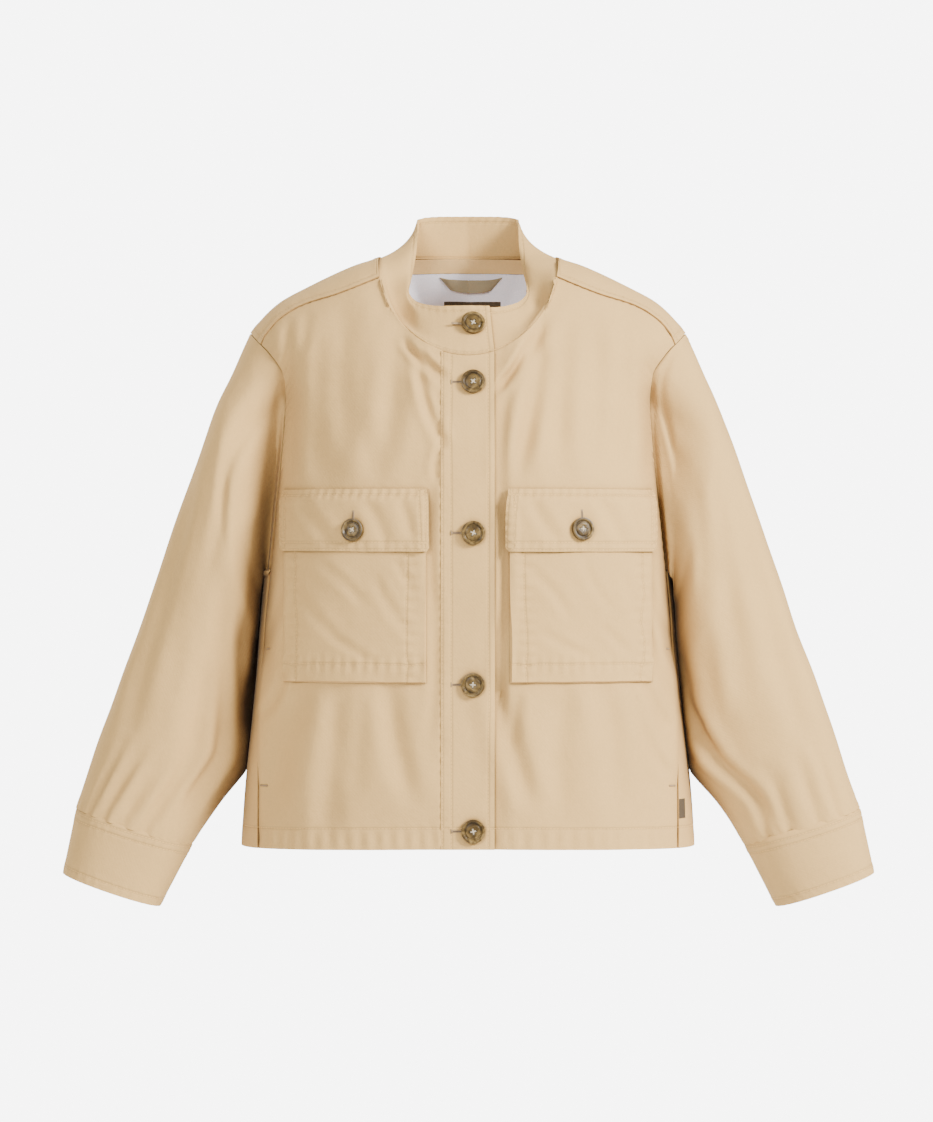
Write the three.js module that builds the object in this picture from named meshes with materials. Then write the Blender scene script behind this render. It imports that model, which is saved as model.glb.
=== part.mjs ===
// Field jacket in sand cotton twill, filled out and open at the neck, hem and cuffs.
// Millimetres. Z is up, the front faces -Y, the wearer's left is at +X.
// The origin lies between the shoulders at the base of the neck.
import * as THREE from 'three';

// Cloth thicknesses and seam gap
const SEAM = 0.3;
const CLOTH = 1.4;
const COLLAR_CLOTH = 2.2;
const BAND_CLOTH = 1.8;
const PATCH_CLOTH = 1.2;
const LINING_CLOTH = 1.0;

// Trunk heights and the neck
const ARMPIT_Z = -290;
const RIDGE_Y = 8;
const NECK_HALF = 85;
const NECK_Z = 8;
const NECK_DROP = 98;
const NECK_BACK_RISE = 4;
const SECTION_POWER = 2.4;
const HEM_Z = -543.5;
const HEM_SIDE_DROP = 4.5;
const HEM_CORNER_X = 200;

// Curvature of the chest and of the upper back towards the shoulder ridge
const FRONT_RISE = { up: 2.0, out: 2.0 };
const BACK_RISE = { up: 3.5, out: 2.4 };

// Trunk sections: height, half width, front depth, back depth, side seam as a share of the half width
const TRUNK = [
  [-560, 214, 120, 106, 0.908],
  [-508, 211, 120, 106, 0.922],
  [-435, 204, 119, 105, 0.950],
  [-384, 199, 118, 104, 0.965],
  [-330, 195.5, 118, 102, 0.968],
  [-290, 193, 119, 101, 0.960],
  [-255, 189, 120, 101, 0.960],
  [-208, 184, 120, 103, 0.960],
  [-156, 179.5, 119, 104, 0.960],
  [-133, 178.5, 118, 104, 0.960],
  [-105, 186, 117, 103, 0.934],
  [-85, 204, 116, 102, 0.913],
  [-70, 222, 115, 101, 0.902],
  [-60, 232, 114, 100, 0.898],
  [20, 256, 112, 98, 0.898],
];

// Shoulder ridge: distance from the centre, height
const RIDGE = [[0, 45], [60, 28], [85, 8], [108, 0], [157, -23], [177, -34], [191, -46], [204, -61], [214, -74]];

// Forward shoulder seam in the front view: distance from the centre, height
const SHOULDER_SEAM = [[82.8, -14], [104, -23], [124, -30.5], [156, -40], [178, -53], [190, -67], [194.6, -76]];

// Top edge of the collar: turn from the front in degrees, distance to the side, y, z
const COLLAR_TOP = [
  [0, 0, -72, -46],
  [20, 24, -67, -46],
  [40, 45, -53, -42],
  [58, 55.5, -31, -28],
  [75, 52, -6, -5],
  [90, 48.5, 12, 20],
  [110, 48.5, 32, 39],
  [130, 49, 48, 49],
  [155, 30, 59, 53],
  [180, 0, 62, 54],
];
const COLLAR_FLARE = 5;
const COLLAR_LAP = 2.9;

// Placket and centre front
const PLACKET_LEFT = -24.7;
const PLACKET_RIGHT = 24.2;
const UNDER_EDGE = -20;
const UNDER_DEPTH = 2.6;

// Pockets and flaps, distances from the centre and heights
const POCKET = { inner: 38, outer: 170.5, top: -228, bottom: -392, lift: 3.2 };
const FLAP = { inner: 36.8, outer: 171.5, top: -214, bottom: -271.5, lift: 5.4 };

// Sleeve rings: share of the length, outer line x and z, inner line x and z, half depth, y of the middle
const SLEEVE = [
  [0, 208, -66, 193, -292, 50, -1],
  [0.08, 219, -90, 196.5, -303, 54, -2],
  [0.2, 236, -129, 192.5, -325, 59, -4],
  [0.35, 258, -190, 194.2, -358, 61, -5],
  [0.5, 283, -262, 197, -395, 58, -6],
  [0.65, 310, -340, 201, -436, 53, -7],
  [0.8, 336, -411, 205.5, -470, 48, -8],
  [0.9, 352, -457, 235, -509, 45, -9],
  [1, 370, -513, 262, -548, 41, -10],
];
const CUFF_SEAM = { outer: [371, -514.5], inner: [261.4, -548.8], depth: 42, y: -10 };
const CUFF_END = { outer: [383.5, -574], inner: [291, -606], depth: 35, y: -12 };
const SLEEVE_POWER = 2.25;
const SLEEVE_GAP = 1.4;
// The inner side of a hanging sleeve lies against the trunk, a little behind the side seam
const REST_GAP = 1.8;
const REST_FROM = -294;
const KEEL_BACK = 17;
const BLEND_END = 0.24;

// Largest folds of the trunk: x and z of both ends, half width, depth (inward is positive)
const TRUNK_FOLDS = [
  [-168, -128, -128, -205, 15, 3.5],
  [-74, -70, -36, -112, 11, 3],
  [172, -120, 120, -196, 15, 3.5],
  [70, -84, 34, -118, 11, 3],
  [-188, -402, -168, -540, 17, 4.5],
  [184, -404, 160, -540, 17, 4.5],
];
const BACK_FOLDS = [
  [-150, -118, -96, -210, 18, 4],
  [146, -126, 90, -224, 18, 4],
  [-120, -400, -104, -546, 22, 5],
  [96, -410, 118, -546, 22, 5],
];

// Largest folds of the sleeves: side, turn in degrees, first and last share of the length, half width, depth
const SLEEVE_FOLDS = [
  [-1, 62, 0.18, 0.62, 22, 4],
  [-1, 122, 0.40, 0.92, 22, 5],
  [-1, 250, 0.30, 0.85, 26, 5],
  [1, 70, 0.28, 0.74, 22, 4.5],
  [1, 118, 0.52, 0.98, 20, 4.5],
  [1, 236, 0.24, 0.80, 26, 5],
];

// Buttons: x, z, radius, thickness
const FRONT_BUTTONS = [
  ['button_front_1', 4.6, -115.6, 10.9, 3.2],
  ['button_front_2', 4.6, -254.4, 10.9, 3.2],
  ['button_front_3', 4.6, -393, 10.9, 3.2],
  ['button_front_4', 4.6, -526.6, 10.9, 3.2],
];
const FLAP_BUTTONS = [
  ['button_flap_right', -103.4, -252, 10.4, 3.0],
  ['button_flap_left', 102.8, -251.2, 10.4, 3.0],
];
const COLLAR_BUTTON = { turn: 3.4, share: 0.62, radius: 10.9, thick: 3.2 };

const group = new THREE.Group();
group.name = 'field_jacket';

// A smooth curve through a table sorted by its first column
function along(rows, at, col = 1) {
  const last = rows.length - 1;
  if (at <= rows[0][0]) return rows[0][col];
  if (at >= rows[last][0]) return rows[last][col];
  let i = 0;
  while (at > rows[i + 1][0]) i += 1;
  const rise = k => (rows[k + 1][col] - rows[k][col]) / (rows[k + 1][0] - rows[k][0]);
  const slope = k => {
    if (k === 0) return rise(0);
    if (k === last) return rise(last - 1);
    const before = rise(k - 1);
    const after = rise(k);
    return before * after <= 0 ? 0 : (2 * before * after) / (before + after);
  };
  const width = rows[i + 1][0] - rows[i][0];
  const t = (at - rows[i][0]) / width;
  const a = rows[i][col];
  const b = rows[i + 1][col];
  return a * (1 + 2 * t) * (1 - t) ** 2 + b * t * t * (3 - 2 * t)
    + slope(i) * width * t * (1 - t) ** 2 - slope(i + 1) * width * t * t * (1 - t);
}

const lerp = (a, b, t) => a + (b - a) * t;
const ease = t => {
  const c = Math.min(1, Math.max(0, t));
  return c * c * (3 - 2 * c);
};
const power = (v, p) => Math.sign(v) * Math.abs(v) ** p;
const rad = degrees => (degrees * Math.PI) / 180;

// Depth of one soft trough at a point of a flat view, faded at both ends
function trough(fold, x, z) {
  const [x0, z0, x1, z1, half, depth] = fold;
  const length = Math.hypot(x1 - x0, z1 - z0);
  const ux = (x1 - x0) / length;
  const uz = (z1 - z0) / length;
  const s = ((x - x0) * ux + (z - z0) * uz) / length;
  const off = ((x - x0) * uz - (z - z0) * ux) / half;
  if (s < -0.2 || s > 1.2 || Math.abs(off) > 3) return 0;
  return depth * Math.exp(-off * off) * ease((s + 0.2) / 0.4) * ease((1.2 - s) / 0.4);
}

// Share of the depth left at a height, from the armpit up to the ridge
function risen(x, z, rise) {
  if (z <= ARMPIT_Z) return 1;
  const t = Math.min(1, (z - ARMPIT_Z) / (along(RIDGE, Math.abs(x)) - ARMPIT_Z));
  return Math.max(0, 1 - t ** rise.up) ** (1 / rise.out);
}

// Depth of the section at a distance from the centre
function sectionDepth(x, z, col) {
  const share = Math.min(1, Math.abs(x) / along(TRUNK, z, 1));
  return along(TRUNK, z, col) * (1 - share ** SECTION_POWER) ** (1 / SECTION_POWER);
}

// Front and back surfaces as seen from the front
function frontY(x, z) {
  let depth = sectionDepth(x, z, 2);
  for (const fold of TRUNK_FOLDS) depth -= trough(fold, x, z);
  return RIDGE_Y * (1 - risen(x, z, FRONT_RISE)) - depth * risen(x, z, FRONT_RISE);
}
function backY(x, z) {
  let depth = sectionDepth(x, z, 3);
  for (const fold of BACK_FOLDS) depth -= trough(fold, x, z);
  return RIDGE_Y * (1 - risen(x, z, BACK_RISE)) + depth * risen(x, z, BACK_RISE);
}
const frontPoint = (x, z) => new THREE.Vector3(x, frontY(x, z), z);
const backPoint = (x, z) => new THREE.Vector3(x, backY(x, z), z);

// Outward normal of a surface given over the front view
function normalAt(surface, x, z, outward) {
  const step = 0.6;
  const dx = surface(x + step, z).sub(surface(x - step, z));
  const dz = surface(x, z + step).sub(surface(x, z - step));
  const n = dx.cross(dz).normalize();
  return n.y * outward < 0 ? n.negate() : n;
}
const frontNormal = (x, z) => normalAt(frontPoint, x, z, -1);
const backNormal = (x, z) => normalAt(backPoint, x, z, 1);
const onFront = (x, z, lift) => frontPoint(x, z).addScaledVector(frontNormal(x, z), lift);
const onBack = (x, z, lift) => backPoint(x, z).addScaledVector(backNormal(x, z), lift);

const hemZ = x => HEM_Z - HEM_SIDE_DROP * (x / TRUNK[0][1]) ** 2;

// Neckline in the front view at a turn from the centre front
function neckline(turn) {
  const c = Math.cos(turn);
  const x = NECK_HALF * Math.sin(turn);
  return c > 0 ? [x, NECK_Z - NECK_DROP * c] : [x, NECK_Z - NECK_BACK_RISE * c];
}
const neckFrontZ = x => NECK_Z - NECK_DROP * Math.sqrt(Math.max(0, 1 - (x / NECK_HALF) ** 2));
function neckPoint(turn) {
  const [x, z] = neckline(turn);
  return Math.cos(turn) > 0 ? frontPoint(x, z) : backPoint(x, z);
}

// Builds a closed wall from two grids of points; cells may be left out, columns may close on themselves
function wallBetween(name, outer, inner, cloth, { loop = false, keep = () => true } = {}) {
  const rows = outer.length;
  const cols = outer[0].length;
  const spans = loop ? cols : cols - 1;
  const points = [];
  const id = (i, j, layer) => ((i * cols + (j % cols)) * 2 + layer);
  for (let i = 0; i < rows; i += 1) {
    for (let j = 0; j < cols; j += 1) points.push(outer[i][j], inner[i][j]);
  }
  const kept = (i, j) => {
    if (i < 0 || i >= rows - 1) return false;
    const c = loop ? (j + spans) % spans : j;
    if (c < 0 || c >= spans) return false;
    return keep(i, c);
  };
  const faces = [];
  const quad = (a, b, c, d) => faces.push([a, b, c], [a, c, d]);
  for (let i = 0; i < rows - 1; i += 1) {
    for (let j = 0; j < spans; j += 1) {
      if (!kept(i, j)) continue;
      quad(id(i, j, 0), id(i, j + 1, 0), id(i + 1, j + 1, 0), id(i + 1, j, 0));
      quad(id(i, j, 1), id(i + 1, j, 1), id(i + 1, j + 1, 1), id(i, j + 1, 1));
      if (!kept(i - 1, j)) quad(id(i, j, 0), id(i, j, 1), id(i, j + 1, 1), id(i, j + 1, 0));
      if (!kept(i + 1, j)) quad(id(i + 1, j + 1, 0), id(i + 1, j + 1, 1), id(i + 1, j, 1), id(i + 1, j, 0));
      if (!kept(i, j - 1)) quad(id(i + 1, j, 0), id(i + 1, j, 1), id(i, j, 1), id(i, j, 0));
      if (!kept(i, j + 1)) quad(id(i, j + 1, 0), id(i, j + 1, 1), id(i + 1, j + 1, 1), id(i + 1, j + 1, 0));
    }
  }
  addMesh(name, points, faces, cloth);
}

// Adds a mesh with its faces turned outward
function addMesh(name, points, faces, cloth) {
  let volume = 0;
  for (const [a, b, c] of faces) {
    volume += points[a].dot(new THREE.Vector3().crossVectors(points[b], points[c]));
  }
  const index = [];
  for (const [a, b, c] of faces) index.push(a, ...(volume > 0 ? [b, c] : [c, b]));
  const flat = new Float32Array(points.length * 3);
  points.forEach((p, k) => p.toArray(flat, k * 3));
  const geometry = new THREE.BufferGeometry();
  geometry.setAttribute('position', new THREE.BufferAttribute(flat, 3));
  geometry.setIndex(index);
  geometry.computeVertexNormals();
  const mesh = new THREE.Mesh(geometry, new THREE.MeshStandardMaterial(cloth));
  mesh.name = name;
  mesh.material.name = name;
  group.add(mesh);
}

// Normals of a grid, turned away from a middle point of each row
function gridNormals(grid, middle, loop) {
  const rows = grid.length;
  const cols = grid[0].length;
  return grid.map((row, i) => row.map((p, j) => {
    const up = grid[Math.min(rows - 1, i + 1)][j].clone().sub(grid[Math.max(0, i - 1)][j]);
    const right = loop ? row[(j + 1) % cols] : row[Math.min(cols - 1, j + 1)];
    const left = loop ? row[(j + cols - 1) % cols] : row[Math.max(0, j - 1)];
    const n = up.cross(right.clone().sub(left)).normalize();
    return n.dot(p.clone().sub(middle(i, p))) < 0 ? n.negate() : n;
  }));
}

function wall(name, grid, thick, cloth, middle, options = {}) {
  const normals = gridNormals(grid, middle, options.loop);
  const inner = grid.map((row, i) => row.map((p, j) => {
    const n = options.rim?.(i, j) ?? normals[i][j];
    return p.clone().addScaledVector(n, -thick);
  }));
  wallBetween(name, grid, inner, cloth, options);
}

const TWILL = { color: 0xd6bd98, roughness: 0.9, metalness: 0 };
const TWILL_SHADE = { color: 0xc6ab84, roughness: 0.9, metalness: 0 };
const LINING = { color: 0xdfd9e4, roughness: 0.7, metalness: 0 };
const TAPE = { color: 0xa69469, roughness: 0.9, metalness: 0 };
const LABEL = { color: 0x5c4a2c, roughness: 0.85, metalness: 0 };
const HORN = { color: 0x8a7250, roughness: 0.35, metalness: 0 };

// Rows of the front panels as shares of the height, closer where the armhole turns out to the shoulder
const FRONT_ROWS = [0, 0.09, 0.18, 0.27, 0.36, 0.45, 0.54, 0.63, 0.72, 0.8, 0.87, 0.92, 0.95, 0.975, 1];

// A front panel between its inner edge, side seam and armhole, hem, neckline and shoulder seam
function frontEdgeX(z) {
  return along(TRUNK, z, 4) * along(TRUNK, z, 1);
}
function frontTop(t, innerX) {
  const neckShare = 0.5;
  if (t < neckShare) {
    const from = Math.asin(Math.max(0, innerX) / NECK_HALF);
    const turn = lerp(from, Math.asin(SHOULDER_SEAM[0][0] / NECK_HALF), t / neckShare);
    return [NECK_HALF * Math.sin(turn), NECK_Z - NECK_DROP * Math.cos(turn)];
  }
  const x = lerp(SHOULDER_SEAM[0][0], SHOULDER_SEAM.at(-1)[0], (t - neckShare) / (1 - neckShare));
  return [x, along(SHOULDER_SEAM, x)];
}
function frontGrid(innerX, cols, rows) {
  const [endX, endZ] = SHOULDER_SEAM.at(-1);
  const hemSide = hemZ(HEM_CORNER_X);
  const neckZ = neckFrontZ(Math.max(0, innerX));
  const coons = (u, v) => {
    const low = lerp(innerX, frontEdgeX(hemSide), u);
    const bottom = [low, hemZ(low)];
    const top = frontTop(u, innerX);
    const inner = [innerX, lerp(hemZ(innerX), neckZ, v)];
    const sideZ = lerp(hemSide, endZ, v);
    const side = [frontEdgeX(sideZ), sideZ];
    const corner = [
      lerp(innerX, lerp(frontEdgeX(hemSide), endX, v), u),
      lerp(lerp(hemZ(innerX), neckZ, v), lerp(hemSide, endZ, v), u),
    ];
    return [0, 1].map(k => lerp(bottom[k], top[k], v) + lerp(inner[k], side[k], u) - corner[k]);
  };
  return rows.map(v => Array.from({ length: cols + 1 }, (_, j) => coons(j / cols, v)));
}

function frontPanel(name, side, innerX, depthAt) {
  const flat = frontGrid(innerX, 14, FRONT_ROWS);
  const outer = flat.map(row => row.map(([x, z]) => onFront(side * x, z, -depthAt(x))));
  const inner = flat.map(row => row.map(([x, z]) => onFront(side * x, z, -depthAt(x) - CLOTH)));
  wallBetween(name, outer, inner, TWILL);
}
frontPanel('front_right', -1, -PLACKET_LEFT + SEAM, () => 0);
frontPanel('front_left', 1, UNDER_EDGE, x => UNDER_DEPTH * (1 - ease((x - PLACKET_RIGHT - 2) / 14)));

// The back panel: a lower part that wraps round to both side seams, and an upper part between the armholes
// that runs over the ridge to the forward shoulder seams and the neckline
const SEAM_IN = SEAM / NECK_HALF;
const BACK_COLS = 14;
const UNDERARM_COLS = 4;
const sideTurn = share => Math.asin(share ** (SECTION_POWER / 2));
function trunkRing(turn, z) {
  const s = Math.sin(turn);
  const c = Math.cos(turn);
  const x = along(TRUNK, z, 1) * power(s, 2 / SECTION_POWER);
  return c > 0 ? frontPoint(x, z) : backPoint(x, z);
}
function lowerBackGrid(rows) {
  const backTurn = Math.PI - sideTurn(along(TRUNK, ARMPIT_Z, 4));
  const grid = [];
  for (let i = 0; i <= rows; i += 1) {
    const v = i / rows;
    const row = [];
    const zSide = lerp(hemZ(HEM_CORNER_X), ARMPIT_Z, v);
    const seamTurn = sideTurn(along(TRUNK, zSide, 4)) + (SEAM * 4) / along(TRUNK, zSide, 2);
    const half = [];
    for (let j = 0; j <= BACK_COLS + UNDERARM_COLS; j += 1) {
      const turn = j < UNDERARM_COLS
        ? lerp(seamTurn, backTurn, j / UNDERARM_COLS)
        : lerp(backTurn, Math.PI, (j - UNDERARM_COLS) / BACK_COLS);
      const x = along(TRUNK, zSide, 1) * power(Math.sin(turn), 2 / SECTION_POWER);
      half.push([turn, lerp(hemZ(x), ARMPIT_Z, v)]);
    }
    for (const [turn, z] of half) row.push(trunkRing(-turn, z));
    for (const [turn, z] of half.slice(0, -1).reverse()) row.push(trunkRing(turn, z));
    grid.push(row);
  }
  return grid;
}

// A point over the ridge at a distance from the centre and a turn: 180 at the back armpit, 90 on the ridge
function overRidge(x, turn) {
  const rise = Math.cos(turn) > 0 ? FRONT_RISE : BACK_RISE;
  const z = lerp(ARMPIT_Z, along(RIDGE, Math.abs(x)), Math.sin(turn) ** (2 / rise.up));
  return Math.cos(turn) > 0 ? frontPoint(x, z) : backPoint(x, z);
}
function ridgeTurn(x, z, front) {
  const rise = front ? FRONT_RISE : BACK_RISE;
  const t = Math.min(1, Math.max(0, (z - ARMPIT_Z) / (along(RIDGE, Math.abs(x)) - ARMPIT_Z)));
  const turn = Math.asin(t ** (rise.up / 2));
  return front ? turn : Math.PI - turn;
}
// Armhole edge of the trunk from the back armpit over the ridge down to a front height
function armholeTop() {
  const edge = z => along(TRUNK, z, 4) * along(TRUNK, z, 1);
  let low = -90;
  let high = -50;
  for (let k = 0; k < 40; k += 1) {
    const mid = (low + high) / 2;
    if (mid < along(RIDGE, edge(mid))) low = mid;
    else high = mid;
  }
  return low;
}
const ARM_TOP_Z = armholeTop();
const ARM_TOP_X = frontEdgeX(ARM_TOP_Z);
function armholeSide(share) {
  const overShare = 0.86;
  if (share < overShare) {
    const z = lerp(ARMPIT_Z, ARM_TOP_Z, Math.sin((share / overShare) * (Math.PI / 2)));
    return [frontEdgeX(z), ridgeTurn(frontEdgeX(z), z, false)];
  }
  const endZ = SHOULDER_SEAM.at(-1)[1] + SEAM;
  const z = lerp(ARM_TOP_Z, endZ, ((share - overShare) / (1 - overShare)) ** 2);
  return [frontEdgeX(z), ridgeTurn(frontEdgeX(z), z, true)];
}
function upperBackGrid(rows) {
  const backTurn = Math.PI - sideTurn(along(TRUNK, ARMPIT_Z, 4));
  const neckShare = 0.571;
  const seamTurn = Math.asin(SHOULDER_SEAM[0][0] / NECK_HALF) + SEAM_IN;
  const topEdge = u => {
    if (u < neckShare) {
      const turn = lerp(Math.PI, seamTurn, u / neckShare);
      const [x, z] = neckline(turn);
      return [x, ridgeTurn(x, z, turn < Math.PI / 2)];
    }
    const x = lerp(SHOULDER_SEAM[0][0], SHOULDER_SEAM.at(-1)[0], (u - neckShare) / (1 - neckShare));
    return [x, ridgeTurn(x, along(SHOULDER_SEAM, x) + SEAM * 3.4, true)];
  };
  const bottomX = u => along(TRUNK, ARMPIT_Z, 1)
    * power(Math.sin(lerp(Math.PI, backTurn, u)), 2 / SECTION_POWER);
  const cornerTop = topEdge(1);
  const neckTurn = topEdge(0)[1];
  const coons = (u, v) => {
    const bottom = [bottomX(u), Math.PI];
    const top = topEdge(u);
    const centre = [0, lerp(Math.PI, neckTurn, v)];
    const side = armholeSide(v);
    const corner = [
      u * (1 - v) * bottomX(1) + u * v * cornerTop[0],
      (1 - v) * Math.PI + (1 - u) * v * neckTurn + u * v * cornerTop[1],
    ];
    return [0, 1].map(k => (1 - v) * bottom[k] + v * top[k] + (1 - u) * centre[k] + u * side[k] - corner[k]);
  };
  const grid = [];
  for (let i = 0; i <= rows; i += 1) {
    const half = [];
    for (let j = 0; j <= BACK_COLS; j += 1) half.push(coons(1 - j / BACK_COLS, i / rows));
    const row = half.map(([x, turn]) => overRidge(-x, turn));
    for (const [x, turn] of half.slice(0, -1).reverse()) row.push(overRidge(x, turn));
    grid.push(row);
  }
  return grid;
}
{
  const low = lowerBackGrid(7);
  const high = upperBackGrid(14);
  const blank = Array.from({ length: UNDERARM_COLS }, () => null);
  const grid = low.slice();
  for (const row of high.slice(1)) grid.push([...blank, ...row, ...blank]);
  const total = low[0].length;
  // The empty corner cells repeat the armhole points so that every place of the grid is filled
  for (const row of grid) {
    for (let j = 0; j < total; j += 1) {
      if (row[j] === null) row[j] = row[j < total / 2 ? UNDERARM_COLS : total - 1 - UNDERARM_COLS];
    }
  }
  const keep = (i, j) => i < low.length - 1 || (j >= UNDERARM_COLS && j < total - 1 - UNDERARM_COLS);
  const middle = (i, p) => new THREE.Vector3(0, 0, Math.min(p.z, i < 16 ? ARMPIT_Z : -60) - 10);
  wall('back', grid, CLOTH, TWILL, middle, { keep });
}

const ARMHOLE_STEPS = 60;
const UNDERARM_STEPS = 24;

// The armhole as a closed line: from the ridge down the front, under the arm and up the back
function armholeLine() {
  const line = [];
  const steps = ARMHOLE_STEPS;
  for (let k = 0; k <= steps; k += 1) {
    const z = lerp(ARM_TOP_Z, ARMPIT_Z, 1 - Math.cos((k / steps) * (Math.PI / 2)));
    line.push([frontPoint(frontEdgeX(z), z), frontNormal(frontEdgeX(z) - 0.8, z - 0.8)]);
  }
  const turn = sideTurn(along(TRUNK, ARMPIT_Z, 4));
  for (let k = 1; k < UNDERARM_STEPS; k += 1) {
    const p = trunkRing(lerp(turn, Math.PI - turn, k / UNDERARM_STEPS), ARMPIT_Z);
    line.push([p, new THREE.Vector3(p.x / 200, p.y / 150, 0).normalize()]);
  }
  for (let k = steps; k > 0; k -= 1) {
    const z = lerp(ARM_TOP_Z, ARMPIT_Z, 1 - Math.cos((k / steps) * (Math.PI / 2)));
    line.push([backPoint(frontEdgeX(z), z), backNormal(frontEdgeX(z) - 0.8, z - 0.8)]);
  }
  return line;
}
// The armhole resampled to even arc lengths; the first point is the ridge, the halfway point the armpit
function armholePoints(count) {
  const line = armholeLine();
  const lowest = ARMHOLE_STEPS + UNDERARM_STEPS / 2;
  const sample = (from, to, share) => {
    const part = [];
    for (let k = from; k <= to; k += 1) part.push(line[k % line.length]);
    const run = [0];
    for (let k = 1; k < part.length; k += 1) run.push(run[k - 1] + part[k][0].distanceTo(part[k - 1][0]));
    const at = share * run.at(-1);
    let k = 0;
    while (k < part.length - 2 && run[k + 1] < at) k += 1;
    const t = (at - run[k]) / (run[k + 1] - run[k]);
    return [part[k][0].clone().lerp(part[k + 1][0], t), part[k][1].clone().lerp(part[k + 1][1], t).normalize()];
  };
  const out = [];
  for (let j = 0; j < count; j += 1) {
    const share = (2 * j) / count;
    out.push(share < 1 ? sample(0, lowest, share) : sample(lowest, line.length, share - 1));
  }
  return out;
}

// How far out the trunk reaches at a depth y, below the armpits
function trunkSide(y, z) {
  const share = Math.min(1, Math.abs(y) / along(TRUNK, z, y < 0 ? 2 : 3));
  return along(TRUNK, z, 1) * (1 - share ** SECTION_POWER) ** (1 / SECTION_POWER);
}
function ringFrame(t) {
  const v = [1, 2, 3, 4, 5, 6].map(col => along(SLEEVE, t, col));
  return {
    centre: new THREE.Vector3((v[0] + v[2]) / 2, v[5], (v[1] + v[3]) / 2),
    across: new THREE.Vector3((v[0] - v[2]) / 2, 0, (v[1] - v[3]) / 2),
    depth: v[4],
  };
}
function sleeveGrid(side, cols, rows) {
  const hole = armholePoints(cols);
  const first = ringFrame(0);
  const away = new THREE.Vector3().crossVectors(first.across, new THREE.Vector3(0, -1, 0)).normalize();
  if (away.x < 0) away.negate();
  const local = hole.map(([p]) => {
    const d = p.clone().sub(first.centre);
    return [d.dot(first.across) / first.across.lengthSq(), -d.y / first.depth, d.dot(away)];
  });
  const grid = [];
  for (let i = 0; i <= rows; i += 1) {
    const t = i / rows;
    const ring = ringFrame(t);
    const mix = ease(t / BLEND_END);
    const row = [];
    for (let j = 0; j < cols; j += 1) {
      const turn = (j / cols) * Math.PI * 2;
      const c = lerp(local[j][0], power(Math.cos(turn), 2 / SLEEVE_POWER), mix);
      let s = lerp(local[j][1], power(Math.sin(turn), 2 / SLEEVE_POWER), mix);
      let pull = 0;
      for (const [which, deg, from, to, half, depth] of SLEEVE_FOLDS) {
        if (which !== side) continue;
        const off = (((turn * 180) / Math.PI - deg + 540) % 360 - 180) / half;
        pull += depth * Math.exp(-off * off) * ease((t - from) / 0.14 + 0.5) * ease((to - t) / 0.14 + 0.5);
      }
      const size = Math.hypot(ring.across.length() * c, ring.depth * s);
      const shrink = 1 - pull / Math.max(size, 20);
      const p = ring.centre.clone().addScaledVector(ring.across, c * shrink);
      p.y -= s * shrink * ring.depth;
      p.y += KEEL_BACK * ((1 - c) / 2) ** 2 * ease(t / 0.2) * ease((1 - t) / 0.3);
      p.addScaledVector(away, local[j][2] * (1 - mix) + SLEEVE_GAP * (1 - ease(t / 0.15)));
      if (p.z < REST_FROM) {
        p.x = Math.max(p.x, trunkSide(p.y, p.z) + REST_GAP * ease((REST_FROM - p.z) / 10));
      }
      row.push(p.setX(p.x * side));
    }
    grid.push(row);
  }
  return grid;
}
for (const [side, name] of [[-1, 'sleeve_right'], [1, 'sleeve_left']]) {
  const cols = 20;
  const rows = 14;
  const grid = sleeveGrid(side, cols, rows);
  const hole = armholePoints(cols);
  const middle = i => {
    const c = ringFrame(i / rows).centre;
    return c.setX(c.x * side);
  };
  const rim = (i, j) => {
    if (i > 0) return null;
    const n = hole[j][1].clone();
    return n.setX(n.x * side);
  };
  wall(name, grid, CLOTH, TWILL, middle, { loop: true, rim });
}

// Cuff bands, a little fuller than the sleeve end
function cuffPoint(side, share, turn) {
  const mix = key => [0, 1].map(k => lerp(CUFF_SEAM[key][k], CUFF_END[key][k], share));
  const [ox, oz] = mix('outer');
  const [ix, iz] = mix('inner');
  const c = power(Math.cos(turn), 2 / SLEEVE_POWER);
  const s = power(Math.sin(turn), 2 / SLEEVE_POWER);
  const depth = lerp(CUFF_SEAM.depth, CUFF_END.depth, share);
  const x = (ox + ix) / 2 + (c * (ox - ix)) / 2;
  const z = (oz + iz) / 2 + (c * (oz - iz)) / 2;
  return new THREE.Vector3(side * x, lerp(CUFF_SEAM.y, CUFF_END.y, share) - s * depth, z);
}
for (const [side, name] of [[-1, 'cuff_right'], [1, 'cuff_left']]) {
  const cols = 20;
  const rows = 3;
  const grid = [];
  for (let i = 0; i <= rows; i += 1) {
    const row = [];
    for (let j = 0; j < cols; j += 1) row.push(cuffPoint(side, i / rows, (j / cols) * Math.PI * 2));
    grid.push(row);
  }
  const middle = i => cuffPoint(side, i / rows, 0).add(cuffPoint(side, i / rows, Math.PI)).multiplyScalar(0.5);
  wall(name, grid, BAND_CLOTH, TWILL_SHADE, middle, { loop: true });
}

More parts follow.
